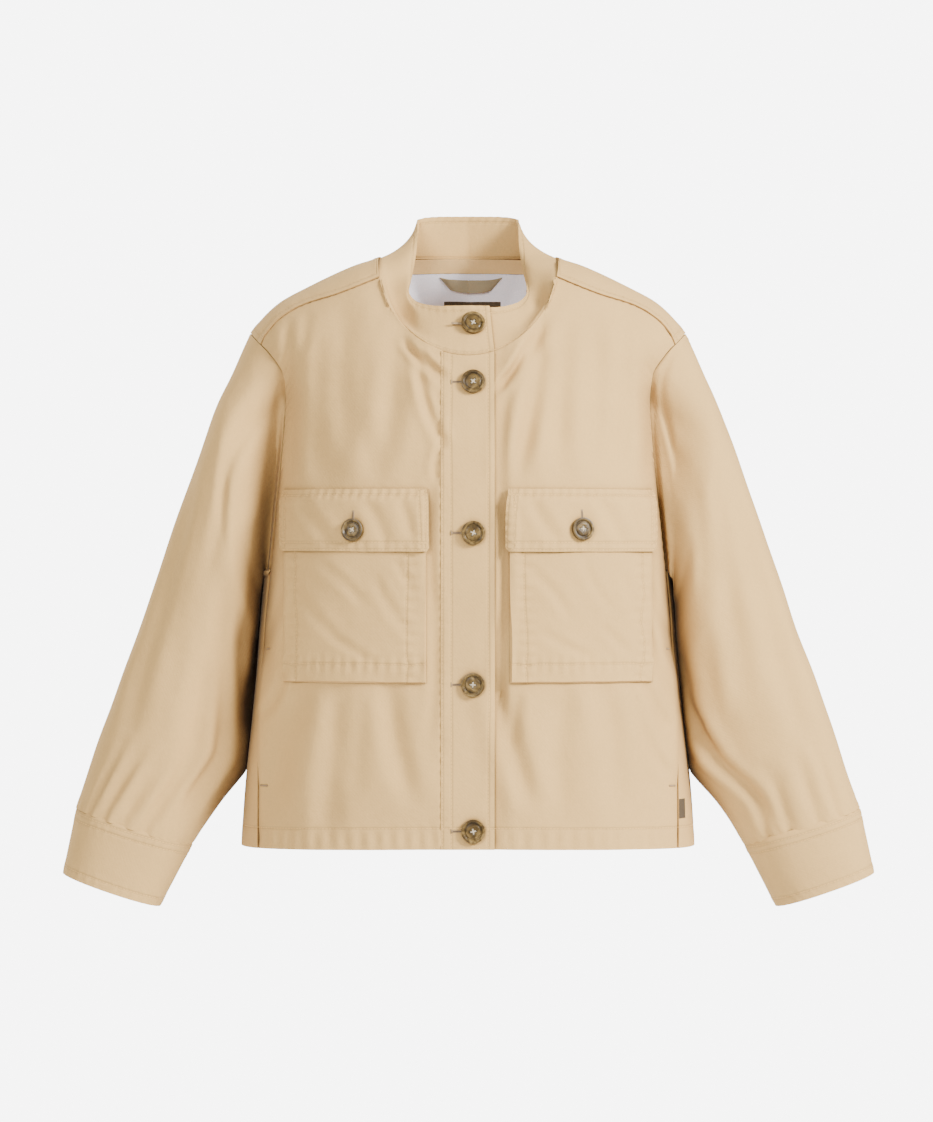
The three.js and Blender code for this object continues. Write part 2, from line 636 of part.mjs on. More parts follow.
// Collar: one band that starts on top at the placket edge, goes round the neck and ends under itself
function collarTop(turn) {
  const deg = (Math.abs(turn) * 180) / Math.PI;
  const v = [1, 2, 3].map(col => along(COLLAR_TOP, Math.min(180, deg), col));
  return new THREE.Vector3(Math.sign(turn || 1) * v[0], v[1], v[2]);
}
function collarPoint(turn, share) {
  let wrapped = turn;
  while (wrapped > Math.PI) wrapped -= Math.PI * 2;
  while (wrapped < -Math.PI) wrapped += Math.PI * 2;
  const base = neckPoint(wrapped);
  const top = collarTop(wrapped);
  const rise = top.clone().sub(base).normalize();
  base.addScaledVector(rise, SEAM + 1.0 + 1.3 * Math.sin(wrapped) ** 2);
  const p = base.lerp(top, share);
  const sag = COLLAR_FLARE * Math.sin(wrapped) ** 2 * Math.sin(Math.PI * share);
  const length = Math.hypot(p.x, p.y) || 1;
  p.x -= (sag * p.x) / length;
  p.y -= (sag * p.y) / length;
  return p;
}
const COLLAR_START = Math.asin(PLACKET_RIGHT / NECK_HALF);
const COLLAR_TURN = Math.PI * 2 + COLLAR_START + Math.asin(-UNDER_EDGE / NECK_HALF);
function collarBand(u, share) {
  const turn = COLLAR_START - u * COLLAR_TURN;
  const p = collarPoint(turn, share);
  const under = COLLAR_LAP * ease((u - 0.84) / 0.09);
  if (under > 0) {
    const n = collarPoint(turn - 0.02, share).sub(collarPoint(turn + 0.02, share))
      .cross(collarPoint(turn, Math.min(1, share + 0.02)).sub(collarPoint(turn, Math.max(0, share - 0.02))))
      .normalize();
    if (n.y > 0) n.negate();
    p.addScaledVector(n, -under);
  }
  return p;
}
{
  const cols = 42;
  const rows = 3;
  const grid = [];
  for (let i = 0; i <= rows; i += 1) {
    const row = [];
    for (let j = 0; j <= cols; j += 1) row.push(collarBand(j / cols, i / rows));
    grid.push(row);
  }
  wall('collar', grid, COLLAR_CLOTH, TWILL_SHADE, (i, p) => new THREE.Vector3(0, 0, p.z - 30), {});
}

// Placket band on the front, from the hem to the collar
{
  const cols = 4;
  const rows = 15;
  const lift = 0.5;
  const outer = [];
  const inner = [];
  for (let i = 0; i <= rows; i += 1) {
    const rowOut = [];
    const rowIn = [];
    for (let j = 0; j <= cols; j += 1) {
      const x = lerp(PLACKET_LEFT, PLACKET_RIGHT, j / cols);
      const z = lerp(hemZ(x), neckFrontZ(x) - 0.8, i / rows);
      rowOut.push(onFront(x, z, lift));
      rowIn.push(onFront(x, z, lift - BAND_CLOTH));
    }
    outer.push(rowOut);
    inner.push(rowIn);
  }
  wallBetween('placket', outer, inner, TWILL_SHADE);
}

// Patch pockets with turned edges that stand off the panel
const RIM_LIFT = SEAM + 0.5;
function pocket(name, side) {
  const edge = 1.0;
  const xs = [POCKET.inner, POCKET.inner + edge, 62, 84, 104, 122, 137, 149, 160, POCKET.outer - edge, POCKET.outer];
  const zs = [POCKET.bottom, POCKET.bottom + edge, -355, -315, -270, POCKET.top - edge, POCKET.top];
  const cx = (POCKET.inner + POCKET.outer) / 2;
  const cz = (POCKET.bottom + POCKET.top) / 2;
  const outer = [];
  const inner = [];
  zs.forEach((z, i) => {
    const rowOut = [];
    const rowIn = [];
    xs.forEach((x, j) => {
      const rim = i === 0 || j === 0 || i === zs.length - 1 || j === xs.length - 1;
      const inX = x + Math.sign(cx - x) * PATCH_CLOTH * (j < 2 || j > xs.length - 3 ? 1 : 0);
      const inZ = z + Math.sign(cz - z) * PATCH_CLOTH * (i < 2 || i > zs.length - 3 ? 1 : 0);
      rowOut.push(onFront(side * x, z, rim ? RIM_LIFT : POCKET.lift));
      rowIn.push(onFront(side * inX, inZ, rim ? RIM_LIFT : POCKET.lift - PATCH_CLOTH));
    });
    outer.push(rowOut);
    inner.push(rowIn);
  });
  wallBetween(name, outer, inner, TWILL_SHADE);
}
pocket('pocket_right', -1);
pocket('pocket_left', 1);

// Flaps sewn along the top edge, lying over the pocket
const flapLift = z => lerp(RIM_LIFT + PATCH_CLOTH, FLAP.lift, ease((FLAP.top - z) / 13));
function flap(name, side) {
  const zs = [FLAP.bottom, -250, -231, -224, -219, FLAP.top];
  const cols = 9;
  const outer = [];
  const inner = [];
  for (const z of zs) {
    const rowOut = [];
    const rowIn = [];
    for (let j = 0; j <= cols; j += 1) {
      const x = side * lerp(FLAP.inner, FLAP.outer, j / cols);
      rowOut.push(onFront(x, z, flapLift(z)));
      rowIn.push(onFront(x, z, flapLift(z) - PATCH_CLOTH));
    }
    outer.push(rowOut);
    inner.push(rowIn);
  }
  wallBetween(name, outer, inner, TWILL_SHADE);
}
flap('flap_right', -1);
flap('flap_left', 1);

// Neck facing, lining, hanger loop and blank label inside the back of the neck
const FACING_DEPTH = 11;
const LINING_END = 150;
const INSIDE = CLOTH + 1.5;
function insideBack(turn, down, lift) {
  const [x, z] = neckline(turn);
  const wide = x * (1 + down * 0.0024);
  return onBack(wide, z - down, -lift);
}
function insidePatch(name, cloth, thick, lift, turns, downs) {
  const grids = [lift, lift + thick].map(depth => downs.map(d => turns.map(t => insideBack(t, d, depth))));
  wallBetween(name, grids[0], grids[1], cloth);
}
const turnsFrom = (from, to, count) => Array.from({ length: count + 1 }, (_, k) => rad(lerp(from, to, k / count)));
insidePatch('neck_facing', TWILL_SHADE, LINING_CLOTH, INSIDE, turnsFrom(112, 248, 16), [1.6, 6.5, FACING_DEPTH]);
insidePatch('lining', LINING, LINING_CLOTH, INSIDE, turnsFrom(112, 248, 16), [FACING_DEPTH + 0.6, 24, 44, 72, 108, LINING_END]);

// Hanger loop: a strip of tape held at both ends, bowed away from the lining
{
  const cols = 10;
  const half = 30.5;
  const outer = [];
  const inner = [];
  for (const edge of [0, 1]) {
    const rowOut = [];
    const rowIn = [];
    for (let j = 0; j <= cols; j += 1) {
      const u = (2 * j) / cols - 1;
      const bow = 4 * (1 - u ** 4);
      const x = u * half + 3;
      const z = -4 - edge * 8 - 3 * (1 - u ** 4);
      const depth = INSIDE + LINING_CLOTH + 0.5 + bow;
      rowOut.push(onBack(x, z, -depth));
      rowIn.push(onBack(x, z, -depth - LINING_CLOTH));
    }
    outer.push(rowOut);
    inner.push(rowIn);
  }
  wallBetween('hanger_loop', outer, inner, TAPE);
}
{
  const outer = [];
  const inner = [];
  for (const z of [-50, -38, -26]) {
    const rowOut = [];
    const rowIn = [];
    for (let j = 0; j <= 4; j += 1) {
      const x = lerp(-23, 32, j / 4);
      const depth = INSIDE + LINING_CLOTH + SEAM + 0.1;
      rowOut.push(onBack(x, z, -depth));
      rowIn.push(onBack(x, z, -depth - 0.8));
    }
    outer.push(rowOut);
    inner.push(rowIn);
  }
  wallBetween('neck_label', outer, inner, LABEL);
}

// Small blank tab that sticks out of the left side seam near the hem
{
  const outer = [];
  const inner = [];
  for (const z of [-520, -511, -502]) {
    const seamTurn = sideTurn(along(TRUNK, z, 4)) + 0.012;
    const rowOut = [];
    const rowIn = [];
    for (let j = 0; j <= 3; j += 1) {
      const turn = seamTurn + (j / 3) * 0.14;
      const p = trunkRing(turn, z);
      const q = trunkRing(turn + 0.01, z).sub(p);
      const n = new THREE.Vector3(-q.y, q.x, 0).normalize();
      if (n.x < 0) n.negate();
      rowOut.push(p.clone().addScaledVector(n, SEAM + 1.2));
      rowIn.push(p.clone().addScaledVector(n, SEAM + 0.2));
    }
    outer.push(rowOut);
    inner.push(rowIn);
  }
  wallBetween('side_tab', outer, inner, LABEL);
}

// A round button with a raised rim, turned from its section
function button(name, place, normal, radius, thick) {
  const segments = 16;
  // Section: share of the radius, share of the thickness
  const section = [[0.86, 0], [1, 0.42], [0.93, 0.94], [0.8, 1], [0.66, 0.66]];
  const side = new THREE.Vector3(1, 0, 0).cross(normal).normalize();
  const up = normal.clone().cross(side);
  const points = [];
  for (const [r, h] of section) {
    for (let k = 0; k < segments; k += 1) {
      const a = (k / segments) * Math.PI * 2;
      points.push(place.clone().addScaledVector(side, Math.cos(a) * r * radius)
        .addScaledVector(up, Math.sin(a) * r * radius).addScaledVector(normal, h * thick));
    }
  }
  const bottom = points.push(place.clone()) - 1;
  const top = points.push(place.clone().addScaledVector(normal, section.at(-1)[1] * thick * 0.94)) - 1;
  const faces = [];
  const at = (s, k) => s * segments + (k % segments);
  for (let k = 0; k < segments; k += 1) {
    faces.push([bottom, at(0, k + 1), at(0, k)], [top, at(section.length - 1, k), at(section.length - 1, k + 1)]);
    for (let s = 0; s < section.length - 1; s += 1) {
      faces.push([at(s, k), at(s, k + 1), at(s + 1, k + 1)], [at(s, k), at(s + 1, k + 1), at(s + 1, k)]);
    }
  }
  addMesh(name, points, faces, HORN);
}
for (const [name, x, z, radius, thick] of FRONT_BUTTONS) {
  button(name, onFront(x, z, 0.5 + SEAM + 0.15), frontNormal(x, z), radius, thick);
}
for (const [name, x, z, radius, thick] of FLAP_BUTTONS) {
  button(name, onFront(x, z, flapLift(z) + SEAM + 0.5), frontNormal(x, z), radius, thick);
}
{
  const { turn, share, radius, thick } = COLLAR_BUTTON;
  const a = rad(turn);
  const p = collarPoint(a, share);
  const n = collarPoint(a + 0.05, share).sub(collarPoint(a - 0.05, share))
    .cross(collarPoint(a, share + 0.1).sub(collarPoint(a, share - 0.1))).normalize();
  if (n.y > 0) n.negate();
  button('button_collar', p.addScaledVector(n, SEAM + 0.4), n, radius, thick);
}

export default group;
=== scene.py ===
import math

import bpy
import numpy as np
from mathutils import Matrix, Vector


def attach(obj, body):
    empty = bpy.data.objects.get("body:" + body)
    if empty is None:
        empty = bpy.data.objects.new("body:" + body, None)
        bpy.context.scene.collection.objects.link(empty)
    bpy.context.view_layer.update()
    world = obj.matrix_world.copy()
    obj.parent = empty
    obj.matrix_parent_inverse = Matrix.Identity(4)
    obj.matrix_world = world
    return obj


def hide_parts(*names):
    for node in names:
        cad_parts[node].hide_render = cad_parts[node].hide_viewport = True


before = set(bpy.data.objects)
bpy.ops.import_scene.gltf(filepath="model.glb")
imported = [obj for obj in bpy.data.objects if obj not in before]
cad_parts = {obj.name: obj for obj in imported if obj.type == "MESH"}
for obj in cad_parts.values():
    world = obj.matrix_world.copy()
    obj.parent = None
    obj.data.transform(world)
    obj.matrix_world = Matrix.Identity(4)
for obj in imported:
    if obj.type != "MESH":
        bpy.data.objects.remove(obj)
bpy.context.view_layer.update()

bpy.ops.object.select_all(action="DESELECT")
# The back: one piece of brushed cotton twill that comes over the shoulders to seams set in front of
# the ridge. It wraps round to both side seams and is turned up at the hem. Sizes are in millimetres.

TWILL_THICK = 1.4
SEAM = 0.3
ARMPIT_Z = -290
RIDGE_Y = 8
NECK_HALF = 85
NECK_Z = 8
NECK_DROP = 98
NECK_BACK_RISE = 4
SECTION_POWER = 2.4
HEM_Z = -543.5
HEM_SIDE_DROP = 4.5
HEM_CORNER_X = 200
FRONT_RISE = (2.0, 2.0)
BACK_RISE = (3.5, 2.4)

# height, half width, front depth, back depth, side seam as a share of the half width
TRUNK = [
    (-560, 214, 120, 106, 0.908),
    (-508, 211, 120, 106, 0.922),
    (-435, 204, 119, 105, 0.950),
    (-384, 199, 118, 104, 0.965),
    (-330, 195.5, 118, 102, 0.968),
    (-290, 193, 119, 101, 0.960),
    (-255, 189, 120, 101, 0.960),
    (-208, 184, 120, 103, 0.960),
    (-156, 179.5, 119, 104, 0.960),
    (-133, 178.5, 118, 104, 0.960),
    (-105, 186, 117, 103, 0.934),
    (-85, 204, 116, 102, 0.913),
    (-70, 222, 115, 101, 0.902),
    (-60, 232, 114, 100, 0.898),
    (20, 256, 112, 98, 0.898),
]
# distance from the centre, height of the shoulder ridge
RIDGE = [
    (0, 45), (60, 28), (85, 8), (108, 0), (157, -23),
    (177, -34), (191, -46), (204, -61), (214, -74),
]
# distance from the centre, height of the forward shoulder seam
SHOULDER_SEAM = [
    (82.8, -14), (104, -23), (124, -30.5), (156, -40), (178, -53), (190, -67), (194.6, -76),
]
# creases: x and z of both ends, half width, depth of the trough, ridge beside it, bow of its line
FRONT_CREASES = [
    (-168, -128, -128, -205, 15, 3.5, 0, 0),
    (-74, -70, -36, -112, 11, 3.0, 0, 0),
    (172, -120, 120, -196, 15, 3.5, 0, 0),
    (70, -84, 34, -118, 11, 3.0, 0, 0),
    (-188, -402, -168, -540, 17, 4.5, 0, 0),
    (184, -404, 160, -540, 17, 4.5, 0, 0),
    (-85, -4, -50, -72, 12, 4.8, 0.4, 6),
    (-58, -78, -24, -112, 3.8, 3.0, 1.0, 2),
    (-42, -88, -20, -108, 3.0, 1.8, 1.0, 2),
    (-46, -96, -23, -172, 4.6, 1.7, 0.9, 4),
    (-31, -124, -27, -160, 3.2, 0.7, 0.4, -3),
    (-24, -172, -29, -206, 3.4, 0.9, 0.5, 3),
    (-117, -44, -112, -170, 14, 2.8, 1.0, 3),
    (-66, -74, -84, -196, 12, 2.2, 1.0, -4),
    (-95, -86, -92, -190, 9, 1.0, 0.5, 2),
    (-139, -66, -136, -170, 9, 1.3, 0.6, 2),
    (-163, -78, -165, -200, 8, 2.8, 1.4, 2),
    (-169, -56, -170, -122, 5, 2.6, 1.0, 0),
    (-150, -46, -154, -84, 5, 1.2, 0.7, 0),
    (82, -32, 56, -86, 8, 2.4, 0.6, 2),
    (70, -62, 31, -116, 5.5, 2.0, 0.8, -3),
    (52, -82, 28, -122, 3.4, 1.6, 0.9, -2),
    (69, -70, 47, -190, 9, 3.6, 1.4, -3),
    (94, -50, 84, -186, 11, 2.3, 0.9, 4),
    (38, -122, 30, -204, 6, 1.5, 0.7, 2),
    (112, -44, 118, -170, 13, 2.4, 0.9, -4),
    (146, -60, 140, -190, 9, 1.6, 0.7, -2),
    (166, -82, 168, -204, 7, 2.6, 1.2, -2),
    (-34, -214, -31, -330, 5, 0.9, 0.5, 2),
    (-31, -340, -34, -430, 5, 0.8, 0.4, -2),
    (31, -220, 33, -330, 4.5, 1.6, 0.9, -2),
    (32, -330, 30, -420, 4.5, 1.3, 0.7, 2),
    (-151, -398, -180, -500, 13, 2.8, 1.3, 3),
    (-120, -400, -132, -528, 12, 1.8, 1.0, -4),
    (-72, -396, -54, -492, 10, 1.8, 0.9, 3),
    (-98, -410, -104, -500, 9, 1.1, 0.6, 0),
    (29, -394, 58, -500, 10, 2.6, 1.2, 4),
    (88, -398, 84, -506, 12, 1.5, 0.8, 3),
    (122, -396, 138, -512, 11, 1.7, 0.8, -4),
    (46, -398, 40, -450, 6, 1.0, 0.5, 0),
    (166, -340, 187, -398, 4.6, 1.7, 1.0, 2),
    (163, -392, 188, -436, 4.6, 1.6, 1.0, 2),
    (160, -432, 186, -478, 5, 1.5, 0.9, 2),
    (170, -300, 188, -350, 4.4, 1.3, 0.8, 2),
    (-172, -300, -188, -356, 4.6, 1.5, 0.9, -2),
    (-170, -384, -190, -424, 4.8, 1.6, 0.9, -2),
    (-188, -236, -190, -372, 8, 4.4, 0.8, 0),
    (187, -232, 190, -380, 6, 2.2, 1.0, 0),
]
BACK_CREASES = [
    (-150, -118, -96, -210, 18, 4.0, 0, 0),
    (146, -126, 90, -224, 18, 4.0, 0, 0),
    (-120, -400, -104, -546, 22, 5.0, 0, 0),
    (96, -410, 118, -546, 22, 5.0, 0, 0),
    (-168, -112, -120, -196, 8, 2.6, 1.2, 4),
    (-170, -160, -110, -262, 9, 2.2, 1.1, 5),
    (168, -106, 126, -200, 8, 2.4, 1.2, -4),
    (170, -150, 104, -250, 9, 2.0, 1.0, -5),
    (-66, -10, -34, -96, 8, 2.0, 1.0, 3),
    (60, -12, 30, -90, 8, 1.8, 0.9, -3),
    (-14, -14, -8, -120, 9, 1.2, 0.6, 2),
    (-104, -40, -92, -150, 12, 1.3, 0.6, 3),
    (110, -44, 96, -156, 12, 1.3, 0.6, -3),
    (-40, -210, -58, -400, 13, 1.8, 0.9, 6),
    (48, -230, 34, -430, 13, 1.9, 0.9, -6),
    (-84, -300, -70, -470, 11, 1.5, 0.8, -4),
    (86, -290, 92, -470, 11, 1.5, 0.8, 4),
    (-178, -290, -146, -420, 10, 2.6, 1.3, 4),
    (174, -296, 150, -430, 10, 2.4, 1.2, -4),
    (-10, -400, 8, -540, 12, 1.5, 0.8, 3),
    (-176, -440, -150, -540, 9, 1.6, 0.9, 2),
    (176, -430, 154, -540, 9, 1.6, 0.9, -2),
]


def curve(rows, at, col=1):
    table = np.array(rows, float)
    x, y = table[:, 0], table[:, col]
    at = np.clip(np.asarray(at, float), x[0], x[-1])
    rise = np.diff(y) / np.diff(x)
    slope = np.concatenate([rise[:1], np.zeros(len(x) - 2), rise[-1:]])
    same = rise[:-1] * rise[1:] > 0
    total = np.where(same, rise[:-1] + rise[1:], 1)
    slope[1:-1] = np.where(same, 2 * rise[:-1] * rise[1:] / total, 0)
    i = np.clip(np.searchsorted(x, at, side="right") - 1, 0, len(x) - 2)
    w = x[i + 1] - x[i]
    t = (at - x[i]) / w
    ends = y[i] * (1 + 2 * t) * (1 - t) ** 2 + y[i + 1] * t * t * (3 - 2 * t)
    return ends + w * t * (1 - t) * (slope[i] * (1 - t) - slope[i + 1] * t)


def lerp(a, b, t):
    return a + (b - a) * t


def ease(t):
    c = np.clip(t, 0, 1)
    return c * c * (3 - 2 * c)


def signed_power(v, p):
    return np.sign(v) * np.abs(v) ** p


def fold(off, depth, ridge):
    """The section of a crease: a soft trough and, where it has one, a ridge on both sides."""
    deep = 1.0 if ridge == 0 else 1.55
    return deep * (depth * np.exp(-off * off) - ridge * np.exp(-((np.abs(off) - 1.7) ** 2)))


def creased(rows, a, b):
    """How far the cloth sinks at a place, from soft troughs with a ridge beside each."""
    sunk = np.zeros(np.broadcast(a, b).shape)
    for a0, b0, a1, b1, half, depth, ridge, bow in rows:
        length = math.hypot(a1 - a0, b1 - b0)
        ua, ub = (a1 - a0) / length, (b1 - b0) / length
        along = ((a - a0) * ua + (b - b0) * ub) / length
        off = ((a - a0) * ub - (b - b0) * ua - bow * 4 * along * (1 - along)) / half
        fade = ease((along + 0.2) / 0.4) * ease((1.2 - along) / 0.4)
        sunk += fade * fold(off, depth, ridge)
    return sunk


def uneven(a, b, size=1.0):
    """Slow unevenness of washed cotton, the same on every run."""
    waves = (
        (0.31, 0.07, 0.4, 0.30), (0.11, -0.19, 1.9, 0.34), (-0.23, 0.13, 3.1, 0.24),
        (0.05, 0.34, 5.2, 0.18), (0.43, -0.31, 2.2, 0.12), (-0.52, -0.22, 4.4, 0.10),
    )
    total = 0
    for ka, kb, phase, high in waves:
        total = total + high * np.sin(a * ka * 0.28 + b * kb * 0.28 + phase)
    return total * size


def risen(x, z, rise):
    t = np.clip((z - ARMPIT_Z) / (curve(RIDGE, np.abs(x)) - ARMPIT_Z), 0, 1)
    return np.where(z <= ARMPIT_Z, 1, np.maximum(0, 1 - t ** rise[0]) ** (1 / rise[1]))


def section_depth(x, z, col):
    share = np.minimum(1, np.abs(x) / curve(TRUNK, z, 1))
    return curve(TRUNK, z, col) * (1 - share**SECTION_POWER) ** (1 / SECTION_POWER)


def front_point(x, z):
    left = risen(x, z, FRONT_RISE)
    depth = section_depth(x, z, 2) - creased(FRONT_CREASES, x, z) + uneven(x, z)
    return np.stack([x + 0 * z, RIDGE_Y * (1 - left) - depth * left, z + 0 * x], axis=-1)


def back_point(x, z):
    left = risen(x, z, BACK_RISE)
    depth = section_depth(x, z, 3) - creased(BACK_CREASES, x, z) + uneven(x + 90, z)
    return np.stack([x + 0 * z, RIDGE_Y * (1 - left) + depth * left, z + 0 * x], axis=-1)


def surface_normal(point, x, z, outward):
    n = np.cross(point(x + 0.7, z) - point(x - 0.7, z), point(x, z + 0.7) - point(x, z - 0.7))
    n = n / np.maximum(np.linalg.norm(n, axis=-1, keepdims=True), 1e-9)
    return np.where(n[..., 1:2] * outward < 0, -n, n)


def on_front(x, z, lift):
    x, z = np.broadcast_arrays(np.asarray(x, float), np.asarray(z, float))
    return front_point(x, z) + surface_normal(front_point, x, z, -1) * np.asarray(lift)[..., None]


def on_back(x, z, lift):
    x, z = np.broadcast_arrays(np.asarray(x, float), np.asarray(z, float))
    return back_point(x, z) + surface_normal(back_point, x, z, 1) * np.asarray(lift)[..., None]


def hem_z(x):
    return HEM_Z - HEM_SIDE_DROP * (x / TRUNK[0][1]) ** 2


def edge_x(z):
    return curve(TRUNK, z, 4) * curve(TRUNK, z, 1)


def neckline(turn):
    c = np.cos(turn)
    return NECK_HALF * np.sin(turn), NECK_Z - np.where(c > 0, NECK_DROP, NECK_BACK_RISE) * c


ARMPIT_HALF, ARMPIT_SEAM = TRUNK[5][1], TRUNK[5][4]


def side_turn(share):
    return np.arcsin(share ** (SECTION_POWER / 2))


def trunk_ring(turn, z):
    x = curve(TRUNK, z, 1) * signed_power(np.sin(turn), 2 / SECTION_POWER)
    front = (np.cos(turn) > 0)[..., None]
    return np.where(front, front_point(x, z), back_point(x, z))


def over_ridge(x, turn):
    """A place above the armpits: turn is 180 degrees at the back armpit and 90 on the ridge."""
    front = np.cos(turn) > 0
    up = np.where(front, 2 / FRONT_RISE[0], 2 / BACK_RISE[0])
    z = lerp(ARMPIT_Z, curve(RIDGE, np.abs(x)), np.abs(np.sin(turn)) ** up)
    return np.where(front[..., None], front_point(x, z), back_point(x, z))


def ridge_turn(x, z, front):
    up = FRONT_RISE[0] if front else BACK_RISE[0]
    t = np.clip((z - ARMPIT_Z) / (curve(RIDGE, np.abs(x)) - ARMPIT_Z), 0, 1)
    turn = np.arcsin(t ** (up / 2))
    return turn if front else np.pi - turn


def armhole_top():
    low, high = -90.0, -50.0
    for _ in range(40):
        mid = (low + high) / 2
        below = mid < curve(RIDGE, edge_x(mid))
        low, high = (mid, high) if below else (low, mid)
    return low


ARM_TOP_Z = armhole_top()
SEAM_END_X, SEAM_END_Z = SHOULDER_SEAM[-1]


def run_lengths(points):
    """Distance walked along the columns and along the rows of a grid."""
    step_u = np.linalg.norm(np.diff(points, axis=1), axis=-1)
    step_v = np.linalg.norm(np.diff(points, axis=0), axis=-1)
    u = np.concatenate([np.zeros((points.shape[0], 1)), np.cumsum(step_u, axis=1)], axis=1)
    v = np.concatenate([np.zeros((1, points.shape[1])), np.cumsum(step_v, axis=0)], axis=0)
    return u, v


def sew_sheet(name, points, thick, rows_of_stitch=(), loop=False, turned=False):
    """Makes a cloth wall from a grid of points in millimetres, with its thread directions as UV.

    rows_of_stitch holds (side, inset) pairs: side is left, right, bottom or top of the grid.
    """
    points = points[:, ::-1] if turned else points
    high, wide = points.shape[0] - 1, points.shape[1] - 1
    bpy.ops.object.select_all(action="DESELECT")
    bpy.ops.mesh.primitive_grid_add(x_subdivisions=wide, y_subdivisions=high, size=2)
    piece = bpy.context.object
    piece.name = piece.data.name = name
    mesh = piece.data
    flat = np.empty(len(mesh.vertices) * 3)
    mesh.vertices.foreach_get("co", flat)
    flat = flat.reshape(-1, 3)
    j = np.rint((flat[:, 0] + 1) / 2 * wide).astype(int)
    i = np.rint((flat[:, 1] + 1) / 2 * high).astype(int)
    mesh.vertices.foreach_set("co", (points[i, j] / 1000).ravel())
    u, v = run_lengths(points)
    centred = u - u[:, -1:] / 2
    ids = np.empty(len(mesh.loops), int)
    mesh.loops.foreach_get("vertex_index", ids)
    uv = np.stack([centred[i, j][ids], v[i, j][ids]], axis=-1) / 1000
    mesh.uv_layers[0].data.foreach_set("uv", uv.ravel())
    far = {"left": u, "right": u[:, -1:] - u, "bottom": v, "top": v[-1:] - v}
    for slot_name, across in (("stitch_a", "v"), ("stitch_b", "v"), ("stitch_c", "u"), ("stitch_d", "u")):
        sides = ("left", "right") if across == "v" else ("bottom", "top")
        rows = [r for r in rows_of_stitch if r[0] in sides]
        first = slot_name in ("stitch_a", "stitch_c")
        rows = [r for k, r in enumerate(rows) if (k % 2 == 0) == first]
        value = np.full(points.shape[:2], 1000.0)
        for side, inset in rows:
            off = far[side] - inset
            value = np.where(np.abs(off) < np.abs(value), off, value)
        mesh.attributes.new(slot_name, "FLOAT", "POINT").data.foreach_set("value", value[i, j])
    bpy.ops.object.mode_set(mode="EDIT")
    bpy.ops.mesh.select_all(action="SELECT")
    if loop:
        bpy.ops.mesh.remove_doubles(threshold=0.00001)
    bpy.ops.object.mode_set(mode="OBJECT")
    wall = piece.modifiers.new("wall", "SOLIDIFY")
    wall.thickness = thick / 1000
    wall.offset = -1
    wall.use_even_offset = False
    bpy.ops.object.modifier_apply(modifier="wall")
    bpy.ops.object.shade_smooth_by_angle(angle=math.radians(50))
    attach(piece, "root")
    return piece


def puckered(points, normals, away, along, high=0.35, reach=9, pitch=9.5):
    """Small ripples of the cloth beside a seam or a row of stitches."""
    wave = np.sin(along * 2 * np.pi / pitch + 1.3 * np.sin(along / 31)) * np.exp(-((away / reach) ** 2))
    return points + normals * (high * wave)[..., None]


def grid_normals(points):
    n = np.cross(np.gradient(points, axis=1), np.gradient(points, axis=0))
    return n / np.maximum(np.linalg.norm(n, axis=-1, keepdims=True), 1e-9)


def multiplied(mat, first, second):
    """The product of two colours, each a plain colour or the output of a node."""
    mix = mat.node_tree.nodes.new("ShaderNodeMix")
    mix.data_type = "RGBA"
    mix.blend_type = "MULTIPLY"
    mix.inputs["Factor"].default_value = 1
    for name, colour in (("A", first), ("B", second)):
        if isinstance(colour, tuple):
            mix.inputs[name].default_value = (*colour, 1)
        else:
            mat.node_tree.links.new(colour, mix.inputs[name])
    return mix.outputs["Result"]


